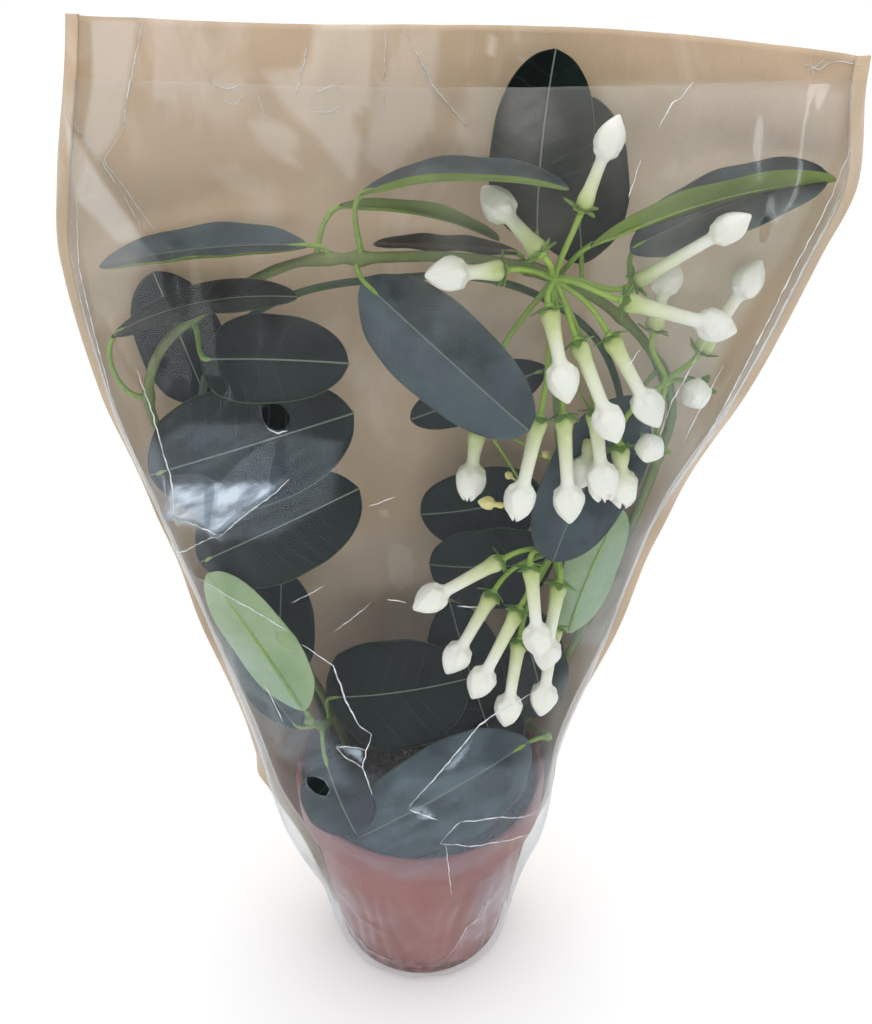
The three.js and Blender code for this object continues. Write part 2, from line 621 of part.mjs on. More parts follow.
function filmGeometry() {
  const topAt = (u) => FILM_TOP + FILM_CROWN * Math.sin(Math.PI * u);
  let film = solid(sheetGeometry(-1, topAt));
  for (const [x, z] of vents) {
    const depth = filmDepth(x, z);
    const slope = depth - filmDepth(x + 1, z);
    const punch = new THREE.CylinderGeometry(VENT_RADIUS, VENT_RADIUS, PUNCH_LENGTH, 14)
      .rotateZ(Math.atan(slope))
      .translate(x, -depth, z);
    film = film.subtract(solid(punch));
  }
  return fromSolid(film);
}

add("sleeve_film", filmGeometry(), FILM);
add("sleeve_paper", sheetGeometry(1, (u) => lerp(PAPER_TOP_LEFT, PAPER_TOP_RIGHT, u)), KRAFT);

export default plant;
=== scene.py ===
"""Madagascar jasmine trained over a hoop, in its nursery pot and its sales sleeve.

Lengths are millimetres until a mesh is made; Blender's are metres.
"""

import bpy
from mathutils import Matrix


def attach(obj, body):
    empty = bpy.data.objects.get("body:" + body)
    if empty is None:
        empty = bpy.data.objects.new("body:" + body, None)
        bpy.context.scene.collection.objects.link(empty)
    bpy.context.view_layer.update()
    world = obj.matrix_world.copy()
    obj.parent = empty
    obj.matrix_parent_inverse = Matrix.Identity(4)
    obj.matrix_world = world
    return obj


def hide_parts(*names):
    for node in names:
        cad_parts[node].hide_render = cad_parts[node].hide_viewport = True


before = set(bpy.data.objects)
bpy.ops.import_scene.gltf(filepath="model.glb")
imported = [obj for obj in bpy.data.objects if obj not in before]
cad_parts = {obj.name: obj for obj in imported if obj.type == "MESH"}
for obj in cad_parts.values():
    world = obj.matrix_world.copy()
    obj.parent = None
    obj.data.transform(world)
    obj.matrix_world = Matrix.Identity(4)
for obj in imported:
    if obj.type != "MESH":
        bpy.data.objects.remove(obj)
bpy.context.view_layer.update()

import math

import bmesh
import bpy
import numpy as np
from mathutils import Vector

MM = 0.001


def add_object(name, data):
    """A new object in the scene."""
    thing = bpy.data.objects.new(name, data)
    bpy.context.scene.collection.objects.link(thing)
    return thing


# ---- camera -------------------------------------------------------------------------------------

PICTURE_HEIGHT = 1024
FOCAL_LENGTH = 1150  # in pixels of the picture
CAMERA_PLACE = (8.3, -430, 571)
CAMERA_PITCH = -34.2

camera_data = bpy.data.cameras.new("camera")
camera_data.sensor_width = 36
camera_data.lens = camera_data.sensor_width * FOCAL_LENGTH / PICTURE_HEIGHT
camera = add_object("camera", camera_data)
camera.location = Vector(CAMERA_PLACE) * MM
camera.rotation_euler = (math.radians(90 + CAMERA_PITCH), 0, 0)
bpy.context.scene.camera = camera

# ---- curves and fields --------------------------------------------------------------------------

RIPPLE_WAVES = 6


def unit(vectors):
    """Vectors of length one."""
    vectors = np.asarray(vectors, float)
    return vectors / np.linalg.norm(vectors, axis=-1, keepdims=True)


def smooth(xs, ys, x):
    """A smooth curve through the points (xs, ys) that doesn't overshoot them, read at x."""
    xs, ys, x = (np.asarray(values, float) for values in (xs, ys, x))
    gaps = np.diff(xs)
    rises = np.diff(ys) / gaps
    slopes = np.zeros_like(ys)
    slopes[0], slopes[-1] = rises[0], rises[-1]
    same = np.nonzero(rises[1:] * rises[:-1] > 0)[0]
    slopes[same + 1] = 2 / (1 / rises[same + 1] + 1 / rises[same])
    k = np.clip(np.searchsorted(xs, x) - 1, 0, len(gaps) - 1)
    t = np.clip((x - xs[k]) / gaps[k], 0, 1)
    held = (1 + 2 * t) * (1 - t) ** 2 * ys[k] + t**2 * (3 - 2 * t) * ys[k + 1]
    return held + gaps[k] * t * (1 - t) * ((1 - t) * slopes[k] - t * slopes[k + 1])


def step(low, high, x):
    """0 below low, 1 above high, and smooth between."""
    t = np.clip((np.asarray(x, float) - low) / (high - low), 0, 1)
    return t * t * (3 - 2 * t)


def circle(count):
    """The angles of evenly spaced points on a circle."""
    return np.linspace(0, 2 * np.pi, count, endpoint=False)


def reach_along(path):
    """How far along a path each of its points lies."""
    return np.concatenate([[0], np.cumsum(np.linalg.norm(np.diff(path, axis=0), axis=1))])


def spaced(path, count):
    """Evenly spaced points along a path."""
    reach = reach_along(path)
    places = np.linspace(0, reach[-1], count)
    return np.column_stack([np.interp(places, reach, column) for column in path.T])


def route(points, count):
    """Evenly spaced points on the centripetal Catmull-Rom curve through a row of points."""
    knots = np.asarray(points, float)
    knots = np.vstack([2 * knots[0] - knots[1], knots, 2 * knots[-1] - knots[-2]])
    t = np.linspace(0, 1, 24, endpoint=False)[:, None]
    fine = []
    for a, b, c, d in zip(knots, knots[1:], knots[2:], knots[3:]):
        ab, bc, cd = (np.linalg.norm(end - start) ** 0.5 for start, end in ((a, b), (b, c), (c, d)))
        leaving = bc * ((b - a) / ab - (c - a) / (ab + bc) + (c - b) / bc)
        arriving = bc * ((c - b) / bc - (d - b) / (bc + cd) + (d - c) / cd)
        fine.append(
            (1 + 2 * t) * (1 - t) ** 2 * b
            + t * (1 - t) ** 2 * leaving
            + t**2 * (3 - 2 * t) * c
            - t**2 * (1 - t) * arriving
        )
    return spaced(np.vstack([*fine, knots[-2:-1]]), count)


def bezier(a, b, c, d, count):
    t = np.linspace(0, 1, count)[:, None]
    return a * (1 - t) ** 3 + 3 * b * t * (1 - t) ** 2 + 3 * c * t**2 * (1 - t) + d * t**3


def ripple(places, size, seed):
    """A smooth random field between about -1 and 1, with features of a given size."""
    dice = np.random.default_rng(seed)
    places = np.asarray(places, float)
    total = np.zeros(places.shape[:-1])
    for _ in range(RIPPLE_WAVES):
        heading = unit(dice.normal(size=places.shape[-1]))
        pitch = 2 * np.pi / size * dice.uniform(0.7, 1.5)
        total += np.sin(places @ heading * pitch + dice.uniform(0, 2 * np.pi))
    return total / RIPPLE_WAVES**0.5 / 1.4


def distance_to_line(x, z, line):
    """How far the points (x, z) lie from a broken line."""
    nearest = np.full(np.shape(x), np.inf)
    for (x0, z0), (x1, z1) in zip(line, line[1:]):
        dx, dz = x1 - x0, z1 - z0
        along = np.clip(((x - x0) * dx + (z - z0) * dz) / (dx * dx + dz * dz), 0, 1)
        nearest = np.minimum(nearest, np.hypot(x - x0 - along * dx, z - z0 - along * dz))
    return nearest


# ---- mesh building ------------------------------------------------------------------------------


class Shape:
    """A mesh in the making: points, faces, and two flat coordinates for each point.

    "mm" is a place on the surface in millimetres, and "share" a place from 0 to 1.
    """

    def __init__(self):
        self.points, self.mm, self.share, self.faces, self.finishes = [], [], [], [], []
        self.count = 0

    def add(self, points, faces, finishes=0, mm=None, share=None):
        points = np.asarray(points, float).reshape(-1, 3)
        blank = np.zeros((len(points), 2))
        self.points.append(points)
        self.mm.append(blank if mm is None else np.asarray(mm, float).reshape(-1, 2))
        self.share.append(blank if share is None else np.asarray(share, float).reshape(-1, 2))
        self.faces.extend([[self.count + corner for corner in face] for face in faces])
        self.finishes.extend([finishes] * len(faces) if np.isscalar(finishes) else finishes)
        self.count += len(points)

    def piece(self, name, materials, slot, *nodes):
        """Makes the object, on the CAD's body, in place of the CAD nodes."""
        mesh = bpy.data.meshes.new(name)
        mesh.from_pydata((np.vstack(self.points) * MM).tolist(), [], self.faces)
        corners = np.empty(len(mesh.loops), dtype=np.int64)
        mesh.loops.foreach_get("vertex_index", corners)
        for label, values in (("mm", self.mm), ("share", self.share)):
            layer = mesh.uv_layers.new(name=label)
            layer.data.foreach_set("uv", np.vstack(values)[corners].ravel())
        for material in materials:
            mesh.materials.append(material)
        mesh.polygons.foreach_set("material_index", self.finishes)
        mesh.polygons.foreach_set("use_smooth", [True] * len(mesh.polygons))
        mesh.update()
        piece = add_object(name, mesh)
        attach(piece, "root")
        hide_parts(*nodes)
        return piece


def ball(subdivisions, radius):
    """The corners and the faces of a ball."""
    mesh = bmesh.new()
    bmesh.ops.create_icosphere(mesh, subdivisions=subdivisions, radius=radius)
    corners = np.array([vert.co for vert in mesh.verts])
    faces = [[vert.index for vert in face.verts] for face in mesh.faces]
    mesh.free()
    return corners, faces


def loft(shape, rings, finishes=0, mm=None, share=None):
    """Adds a closed body through rings of points; finishes may have a number for each side."""
    rings = np.asarray(rings)
    rows, count = rings.shape[:2]
    faces, numbers = [], []
    for k in range(rows - 1):
        for i in range(count):
            j = (i + 1) % count
            faces.append([k * count + i, k * count + j, (k + 1) * count + j, (k + 1) * count + i])
            numbers.append(finishes if np.isscalar(finishes) else finishes[i])
    faces.append(list(range(count))[::-1])
    faces.append([(rows - 1) * count + i for i in range(count)])
    numbers += [numbers[0]] * 2
    shape.add(rings, faces, numbers, mm, share)


def frames_along(path):
    """Two directions square to a path at each of its points, turning as little as they can."""
    headings = unit(np.gradient(path, axis=0))
    normal = np.cross(headings[0], [0.31, 0.27, 0.91])
    first, second = [], []
    for heading in headings:
        normal = unit(normal - heading * normal.dot(heading))
        first.append(normal)
        second.append(np.cross(heading, normal))
    return np.array(first), np.array(second)


def tube(shape, path, radii, sides=12, finish=0, level=0.0):
    """Adds a round bar along a path. Its "share" is how far along it is, and a level of its own."""
    path = np.asarray(path, float)
    first, second = frames_along(path)
    angles = circle(sides)
    spread = np.cos(angles)[:, None] * first[:, None] + np.sin(angles)[:, None] * second[:, None]
    rings = path[:, None] + spread * np.broadcast_to(radii, len(path))[:, None, None]
    along = reach_along(path)
    mm = [[reach, angle * 2] for reach in along for angle in angles]
    share = [[reach / along[-1], level] for reach in along for _ in angles]
    loft(shape, rings, finish, mm, share)


def blade(
    shape, spine, across, up, halves, skin, fold, wave=None, finishes=(0, 1), offset=0.0, columns=21
):
    """Adds a leaf blade: an upper and a lower face that meet at the margin.

    fold is how much the halves rise from the midrib; wave lifts single points of the grid.
    """
    # The columns of the grid stand closer together near the margins.
    s = np.sin(np.linspace(-np.pi / 2, np.pi / 2, columns))
    s = 0.55 * s + 0.45 * np.linspace(-1, 1, columns)
    x = halves[:, None] * s
    rise = fold * (np.sqrt(x**2 + 0.8) - 0.9)
    if wave is not None:
        rise = rise + wave(s[None, :] + 0 * x, x)
    thick = skin * np.sqrt(np.maximum(0, 1 - np.abs(s) ** 6))[None, :] + 0 * x
    flat = spine[:, None] + across[:, None] * x[..., None]
    upper = flat + up[:, None] * (rise + thick)[..., None]
    lower = flat + up[:, None] * (rise - thick)[..., None]
    rings = np.concatenate([upper, lower[:, -2:0:-1]], axis=1)
    reach = reach_along(spine)
    places = np.concatenate([x, x[:, -2:0:-1]], axis=1)
    shares = np.concatenate([s, s[-2:0:-1]])
    mm = np.stack([reach[:, None] + offset + 0 * places, places], axis=-1)
    along = 0 * places + (reach / reach[-1])[:, None]
    share = np.stack([along, 0 * places + shares / 2 + 0.5], axis=-1)
    numbers = [finishes[0]] * (columns - 1) + [finishes[1]] * (columns - 1)
    # The rings run against the loft's own order, so that the faces look out.
    turned = numbers[::-1]
    loft(shape, rings[:, ::-1], turned[1:] + turned[:1], mm[:, ::-1], share[:, ::-1])


def plate(shape, inner, outer, keep, milk_and_painted_light):
    """Adds a thin sheet from two layers of the same grid, with a rim round every open edge.

    keep says which of the grid's cells are there; milk_and_painted_light is a level for each point
    of the grid, partly milky haze and partly painted highlights and reflections, kept in the first
    "share". The second is 0 on the inner layer and 1 on the outer one.
    """
    rows, columns = inner.shape[:2]
    numbers = np.arange(rows * columns).reshape(rows, columns)
    far = rows * columns
    corners = (numbers[:-1, :-1], numbers[:-1, 1:], numbers[1:, 1:], numbers[1:, :-1])
    cells = np.stack([corner[keep] for corner in corners], axis=1)
    faces = (cells[:, ::-1]).tolist() + (cells + far).tolist()
    sides = set()
    for a, b, c, d in cells.tolist():
        sides.update([(a, b), (b, c), (c, d), (d, a)])
    faces += [[b + far, a + far, a, b] for a, b in sorted(sides) if (b, a) not in sides]
    used = np.unique(cells)
    renumber = np.full(2 * far, -1)
    renumber[np.concatenate([used, used + far])] = np.arange(2 * len(used))
    both = np.concatenate([inner.reshape(-1, 3)[used], outer.reshape(-1, 3)[used]])
    faces = [[int(renumber[corner]) for corner in face] for face in faces]
    level = milk_and_painted_light.reshape(-1)[used]
    share = np.concatenate([np.stack([level, 0 * level + layer], axis=-1) for layer in (0, 1)])
    shape.add(both, faces, mm=both[:, [0, 2]], share=share)


# ---- materials ----------------------------------------------------------------------------------


class Finish:
    """A procedural material, built by short calls that hand on sockets."""

    def __init__(self, name):
        self.material = bpy.data.materials.new(name)
        self.material.use_nodes = True
        self.tree = self.material.node_tree
        self.tree.nodes.clear()

    def add(self, kind, inputs, out=0, **settings):
        node = self.tree.nodes.new(kind)
        for key, value in settings.items():
            setattr(node, key, value)
        for key, value in inputs.items():
            socket = node.inputs[key]
            if isinstance(value, bpy.types.NodeSocket):
                self.tree.links.new(value, socket)
            else:
                socket.default_value = value
        return node.outputs[out]

    def object_place(self):
        return self.add("ShaderNodeTexCoord", {}, "Object")

    def flat_place(self, name):
        return self.add("ShaderNodeUVMap", {}, uv_map=name)

    def split(self, vector):
        node = self.tree.nodes.new("ShaderNodeSeparateXYZ")
        self.tree.links.new(vector, node.inputs[0])
        return node.outputs

    def stretched(self, vector, *scale):
        return self.add("ShaderNodeMapping", {"Vector": vector, "Scale": scale})

    def math(self, operation, a, b=0.0, c=0.0):
        return self.add("ShaderNodeMath", {0: a, 1: b, 2: c}, operation=operation)

    def noise(self, vector, scale, detail=4.0, roughness=0.55, distortion=0.0):
        inputs = {"Vector": vector, "Scale": scale, "Detail": detail, "Roughness": roughness}
        return self.add("ShaderNodeTexNoise", {**inputs, "Distortion": distortion})

    def span(self, value, low, high, to_low=0.0, to_high=1.0):
        inputs = {"Value": value, "From Min": low, "From Max": high}
        inputs.update({"To Min": to_low, "To Max": to_high})
        return self.add("ShaderNodeMapRange", inputs, clamp=True)

    def blend(self, share, a, b):
        return self.add("ShaderNodeMix", {0: share, 6: a, 7: b}, 2, data_type="RGBA")

    def bump(self, height, strength, distance):
        inputs = {"Height": height, "Strength": strength, "Distance": distance}
        return self.add("ShaderNodeBump", inputs)

    def plain(self, **inputs):
        """Ends the material with a Principled shader; base_color is its "Base Color" and so on."""
        named = {}
        for key, value in inputs.items():
            named[key.replace("_", " ").title().replace("Ior", "IOR")] = value
        return self.end(self.add("ShaderNodeBsdfPrincipled", named))

    def end(self, shader):
        surface = self.tree.nodes.new("ShaderNodeOutputMaterial")
        self.tree.links.new(shader, surface.inputs["Surface"])
        return self.material


def tone(red, green, blue):
    """A colour given by its 8-bit screen values, as linear light."""
    values = (channel / 255 for channel in (red, green, blue))
    return (*[v / 12.92 if v <= 0.04045 else ((v + 0.055) / 1.055) ** 2.4 for v in values], 1.0)


def leaf_finish(name, dark, light, vein, roughness, vein_share, vein_depth):
    """A leathery leaf face: mottled, with a midrib and veins that run forward to the margin."""
    f = Finish(name)
    flat = f.flat_place("mm")
    along, across, _ = f.split(flat)
    place, side, _ = f.split(f.flat_place("share"))
    aside = f.math("ABSOLUTE", across)
    # The side veins leave the midrib every few millimetres and lean towards the tip.
    wander = f.math("MULTIPLY", f.noise(flat, 0.12, 2.0), 3.0)
    phase = f.math("ADD", f.math("SUBTRACT", along, f.math("MULTIPLY", aside, 0.55)), wander)
    saw = f.math("PINGPONG", phase, 4.2)
    side_vein = f.span(saw, 0.0, 0.55, 1.0, 0.0)
    ends = f.span(f.math("ABSOLUTE", f.math("SUBTRACT", place, 0.5)), 0.18, 0.45, 1.0, 0.15)
    side_vein = f.math("MULTIPLY", side_vein, ends)
    midrib = f.span(aside, 0.16, 0.42, 1.0, 0.0)
    mottle = f.noise(flat, 0.045, 5.0, 0.6)
    # Painted light: one side of the blade is painted lighter, as if its two sides met the light
    # differently.
    painted_light_side = f.span(across, -0.6, 0.6, 0.3, 0.0)
    color = f.blend(f.math("ADD", f.span(mottle, 0.38, 0.66, 0.0, 0.7), painted_light_side), dark, light)
    color = f.blend(f.math("MULTIPLY", side_vein, vein_share * 0.12), color, vein)
    color = f.blend(f.math("MULTIPLY", midrib, vein_share), color, vein)
    margin = f.span(f.math("ABSOLUTE", f.math("SUBTRACT", side, 0.5)), 0.487, 0.498, 0.0, 0.55)
    color = f.blend(margin, color, tone(104, 128, 72))
    swell = f.math("MULTIPLY", f.noise(flat, 0.13, 2.0), 1.4)
    relief = f.math("MULTIPLY_ADD", side_vein, -vein_depth, swell)
    rough = f.span(f.noise(flat, 0.09, 4.0), 0.3, 0.7, roughness - 0.05, roughness + 0.1)
    return f.plain(
        base_color=color,
        roughness=rough,
        specular_ior_level=0.08,
        normal=f.bump(relief, 0.3, 0.0006),
    )


def stalk_finish(name, young, old, tip):
    """A green stalk: its colour runs from old at the foot to young at the end, in faint streaks."""
    f = Finish(name)
    place = f.object_place()
    share, level, _ = f.split(f.flat_place("share"))
    streak = f.noise(f.flat_place("mm"), 0.3, 4.0, 0.6)
    age = f.math("ADD", f.math("MULTIPLY", share, 0.6), level)
    age = f.math("ADD", age, f.span(streak, 0.3, 0.7, -0.3, 0.3))
    color = f.blend(f.span(age, 0.0, 1.0), old, young)
    color = f.blend(f.span(age, 1.1, 1.8), color, tip)
    specks = f.span(f.noise(place, 900.0, 2.0), 0.66, 0.74)
    color = f.blend(f.math("MULTIPLY", specks, 0.35), color, old)
    return f.plain(
        base_color=color,
        roughness=0.45,
        normal=f.bump(f.noise(place, 700.0, 4.0), 0.25, 0.0005),
        subsurface_weight=0.08,
        subsurface_scale=0.0015,
    )


def petal_finish():
    """Waxy ivory petals: a greenish foot, painted shade in greenish lines where the petals overlap,
    and a soft glow.
    """
    f = Finish("petal_wax")
    place = f.object_place()
    share, ridge, _ = f.split(f.flat_place("share"))
    patch = f.noise(place, 140.0, 3.0)
    share = f.math("ADD", share, f.span(patch, 0.3, 0.7, -0.07, 0.07))
    color = f.blend(f.span(share, 0.0, 0.22), tone(174, 192, 106), tone(212, 220, 170))
    color = f.blend(f.span(share, 0.2, 0.62), color, tone(243, 243, 233))
    # Painted shade: a darker greenish line along each petal's overlapping edge.
    edges = f.math("MULTIPLY", f.span(ridge, 0.0, 0.26, 1.0, 0.0), 0.6)
    color = f.blend(edges, color, tone(190, 197, 150))
    fine = f.math("MULTIPLY", f.noise(place, 2400.0, 2.0), 0.2)
    relief = f.math("ADD", f.noise(place, 420.0, 4.0), fine)
    return f.plain(
        base_color=color,
        roughness=0.42,
        normal=f.bump(relief, 0.2, 0.0006),
        subsurface_weight=0.25,
        subsurface_scale=0.003,
    )


def pot_finish():
    """Recycled plastic: dusty rose, speckled, scuffed, with dried compost near the edges."""
    f = Finish("pot_plastic")
    place = f.object_place()
    _, _, height = f.split(place)
    cloud = f.noise(place, 22.0, 4.0)
    color = f.blend(f.span(cloud, 0.35, 0.7), tone(130, 70, 64), tone(150, 88, 80))
    speck = f.span(f.noise(place, 1500.0, 2.0), 0.62, 0.7)
    color = f.blend(f.math("MULTIPLY", speck, 0.3), color, tone(178, 130, 120))
    dust = f.span(f.noise(place, 60.0, 6.0, 0.7), 0.5, 0.8)
    color = f.blend(f.math("MULTIPLY", dust, 0.3), color, tone(172, 130, 120))
    low = f.span(height, 0.0, 0.022, 1.0, 0.0)
    dirt = f.math("MULTIPLY", f.span(f.noise(place, 130.0, 5.0, 0.65), 0.47, 0.56), low)
    splash = f.span(f.noise(place, 260.0, 3.0), 0.7, 0.74, 0.0, 0.7)
    color = f.blend(f.math("MAXIMUM", dirt, splash), color, tone(62, 44, 36))
    rough = f.math("ADD", f.span(cloud, 0.3, 0.7, 0.38, 0.52), f.math("MULTIPLY", dirt, 0.3))
    relief = f.math("ADD", f.noise(place, 900.0, 3.0), f.math("MULTIPLY", dirt, 1.5))
    return f.plain(base_color=color, roughness=rough, normal=f.bump(relief, 0.18, 0.0004))


def soil_finish():
    f = Finish("compost")
    place = f.object_place()
    clump = f.noise(place, 160.0, 6.0, 0.7)
    color = f.blend(f.span(clump, 0.35, 0.65), tone(30, 22, 17), tone(74, 56, 44))
    fibre = f.span(f.noise(f.stretched(place, 1.0, 3.0, 1.0), 700.0, 3.0), 0.6, 0.7)
    color = f.blend(f.math("MULTIPLY", fibre, 0.6), color, tone(122, 96, 72))
    return f.plain(base_color=color, roughness=0.93, normal=f.bump(clump, 0.9, 0.002))


def crumb_finish():
    f = Finish("compost_crumbs")
    place = f.object_place()
    kind = f.noise(place, 210.0, 1.0)
    color = f.blend(f.span(kind, 0.42, 0.58), tone(26, 19, 15), tone(92, 68, 50))
    color = f.blend(f.span(kind, 0.68, 0.72), color, tone(168, 160, 146))
    relief = f.noise(place, 1200.0, 4.0)
    return f.plain(base_color=color, roughness=0.9, normal=f.bump(relief, 0.6, 0.0006))


def hoop_finish():
    """Wire with a green plastic coat, a little worn."""
    f = Finish("coated_wire")
    place = f.object_place()
    wear = f.noise(place, 120.0, 5.0)
    color = f.blend(f.span(wear, 0.4, 0.7), tone(38, 66, 40), tone(58, 92, 54))
    relief = f.noise(place, 500.0, 3.0)
    return f.plain(base_color=color, roughness=0.42, normal=f.bump(relief, 0.15, 0.0004))


def film_finish():
    """Clear film: it mirrors at glancing angles, and a thin milky scatter whitens what is behind
    it, with painted highlights and a painted reflection of the room mixed in.
    """
    f = Finish("clear_film")
    place = f.object_place()
    facing = f.add("ShaderNodeLayerWeight", {"Blend": 0.5}, "Facing")
    rub = f.noise(f.stretched(place, 1.0, 1.0, 0.35), 26.0, 2.0, 0.6)
    # The grid's level is partly milky haze and partly painted highlights, with slanted streaks
    # painted in, and it raises the mirror there too.
    milk_and_painted_light, _, _ = f.split(f.flat_place("share"))
    slant = {"Vector": place, "Rotation": (0, -0.55, 0), "Scale": (5.0, 1, 0.7)}
    streak = f.noise(f.add("ShaderNodeMapping", slant, vector_type="TEXTURE"), 150.0, 2.0, 0.55)
    milk_and_painted_light = f.math("MULTIPLY", milk_and_painted_light, f.span(streak, 0.36, 0.6, 0.5, 1.0))
    mirror = f.math("MULTIPLY_ADD", f.math("POWER", facing, 6.0), 0.6, 0.0105)
    mirror = f.math("MULTIPLY_ADD", f.math("POWER", milk_and_painted_light, 3.0), 0.12, mirror)
    _, _, height = f.split(place)
    cloud = f.noise(f.stretched(place, 1.0, 1.0, 0.6), 20.0, 2.0, 0.6)
    # The haze is thickest in the upper third, where it is partly the film's own haze and partly
    # painted light that lifts the sleeve's shaded top, and where the film gathers round the pot.
    upper = f.span(height, 0.33, 0.42, 0.12, 1.0)
    upper_haze_and_painted_light = f.math("MULTIPLY", upper, f.span(cloud, 0.44, 0.66, 0.015, 0.06))
    at_rim = f.span(height, 0.09, 0.12, 0.15, 1.0)
    gathered = f.math("MULTIPLY", f.span(height, 0.13, 0.165, 0.05, 0.0), at_rim)
    haze_and_painted_light = f.math("ADD", f.math("MAXIMUM", upper_haze_and_painted_light, gathered), f.span(rub, 0.35, 0.7, 0.0, 0.008))
    haze_and_painted_light = f.math("MULTIPLY_ADD", milk_and_painted_light, 0.5, haze_and_painted_light)
    fine = f.noise(f.stretched(place, 0.5, 1.0, 1.0), 230.0, 0.0)
    bumps = f.bump(fine, 0.1, 0.0008)
    # Painted reflection: a cool blue low down and the warm colour of the room higher up.
    painted_reflection_tint = f.blend(f.span(height, 0.34, 0.42), (0.72, 0.86, 1, 1), (1, 0.98, 0.93, 1))
    body = f.add("ShaderNodeMixShader", {
        0: haze_and_painted_light,
        1: f.add("ShaderNodeBsdfTransparent", {"Color": (0.985, 0.99, 0.99, 1)}),
        2: f.add("ShaderNodeMixShader", {
            0: 0.5,
            1: f.add("ShaderNodeBsdfDiffuse", {"Color": painted_reflection_tint, "Normal": bumps}),
            2: f.add("ShaderNodeBsdfTranslucent", {"Color": painted_reflection_tint}),
        }),
    })
    gloss = f.add("ShaderNodeBsdfGlossy", {
        "Color": (0.9, 0.95, 1, 1),
        "Roughness": f.span(rub, 0.3, 0.7, 0.05, 0.16),
        "Normal": bumps,
    })
    return f.end(f.add("ShaderNodeMixShader", {0: mirror, 1: body, 2: gloss}))


def fold_whitening_and_glint_finish():
    """Film whitened where a fold has bent it, made bright enough to serve as a painted glint along
    the fold.
    """
    f = Finish("whitened_fold_and_painted_glint")
    place = f.object_place()
    broken = f.noise(place, 220.0, 3.0)
    color = f.blend(broken, tone(214, 220, 222), tone(250, 250, 250))
    seen = f.span(broken, 0.3, 0.5, 0.45, 1.0)
    return f.plain(base_color=color, roughness=0.18, specular_ior_level=0.9, alpha=seen)


def paper_finish():
    """Kraft paper under a glossy laminate: fine fibres, faint ribs, and pale patches that are
    painted reflections, painted glints and painted lift where it lies in shade.
    """
    f = Finish("kraft_paper")
    place = f.object_place()
    cloud = f.noise(place, 12.0, 5.0, 0.6)
    fibre = f.noise(f.stretched(place, 1.0, 1.0, 0.22), 1300.0, 4.0, 0.7)
    rib = f.noise(f.stretched(place, 1.0, 1.0, 0.02), 420.0, 2.0)
    color = f.blend(f.span(cloud, 0.3, 0.7), tone(200, 174, 145), tone(214, 188, 158))
    color = f.blend(f.span(fibre, 0.5, 0.8, 0.0, 0.12), color, tone(136, 106, 78))
    milk_and_painted_light, layer, _ = f.split(f.flat_place("share"))
    # Pale patches from the grid's level and from noise: painted reflections and painted light,
    # which show only faintly on the outer face.
    flame = f.noise(f.stretched(place, 1.0, 1.0, 0.55), 17.0, 4.0, 0.55, 1.1)
    pale = f.math("MAXIMUM", milk_and_painted_light, f.span(flame, 0.5, 0.66, 0.0, 0.5))
    pale = f.math("MULTIPLY", pale, f.span(layer, 0.0, 1.0, 1.0, 0.12))
    color = f.blend(pale, color, tone(240, 224, 208))
    color = f.blend(f.span(rib, 0.45, 0.75, 0.0, 0.07), color, tone(204, 176, 146))
    relief = f.math("ADD", f.math("MULTIPLY", fibre, 0.3), f.noise(place, 34.0, 5.0, 0.6))
    return f.plain(
        base_color=color,
        roughness=0.55,
        normal=f.bump(relief, 0.3, 0.001),
        specular_ior_level=0.3,
        coat_weight=0.25,
        coat_roughness=0.28,
        coat_ior=1.5,
    )


def floor_finish():
    f = Finish("studio_floor")
    place = f.object_place()
    color = f.blend(f.noise(place, 3.0), (0.93, 0.93, 0.93, 1), (0.95, 0.95, 0.95, 1))
    return f.plain(base_color=color, roughness=0.85)


MIDRIB = tone(128, 140, 122)
LEAF_UPPER = leaf_finish(
    "leaf_upper", tone(6, 12, 11), tone(20, 32, 29), MIDRIB,
    roughness=0.4, vein_share=0.75, vein_depth=0.18,
)
# A painted sheen: the grey of the room mirrored in the glossy side, put into the base colour.
LEAF_PAINTED_SHEEN = leaf_finish(
    "leaf_painted_sheen", tone(36, 46, 48), tone(82, 95, 102), MIDRIB,
    roughness=0.45, vein_share=0.6, vein_depth=0.18,
)
LEAF_UNDER = leaf_finish(
    "leaf_under", tone(96, 120, 48), tone(122, 144, 70), tone(92, 116, 52),
    roughness=0.5, vein_share=0.6, vein_depth=0.9,
)
LEAF_PALE = leaf_finish(
    "leaf_pale", tone(141, 165, 122), tone(166, 185, 148), tone(116, 142, 92),
    roughness=0.5, vein_share=0.4, vein_depth=0.9,
)
STALK = stalk_finish("green_stalk", tone(150, 182, 66), tone(104, 136, 46), tone(172, 196, 92))
VINE_BARK = stalk_finish("vine_bark", tone(124, 152, 66), tone(96, 106, 54), tone(136, 164, 72))
SEPAL = stalk_finish("green_sepal", tone(104, 142, 44), tone(78, 112, 36), tone(128, 158, 62))
YOUNG_BUD = stalk_finish("young_bud", tone(216, 210, 130), tone(190, 200, 120), tone(226, 220, 160))
PETAL = petal_finish()

# ---- hoop and stems -----------------------------------------------------------------------------

ROOT_DEPTH = 88
HOOP_RADIUS = 1.6
STEM_RADIUS = 2.1
SHOOT_RADIUS = 1.6
JOINT_SWELL = 0.75  # how much thicker a stem is where a stalk leaves it
JOINT_REACH = 3.2
BARK_DEPTH = 0.7  # how deep a stalk starts in the bark

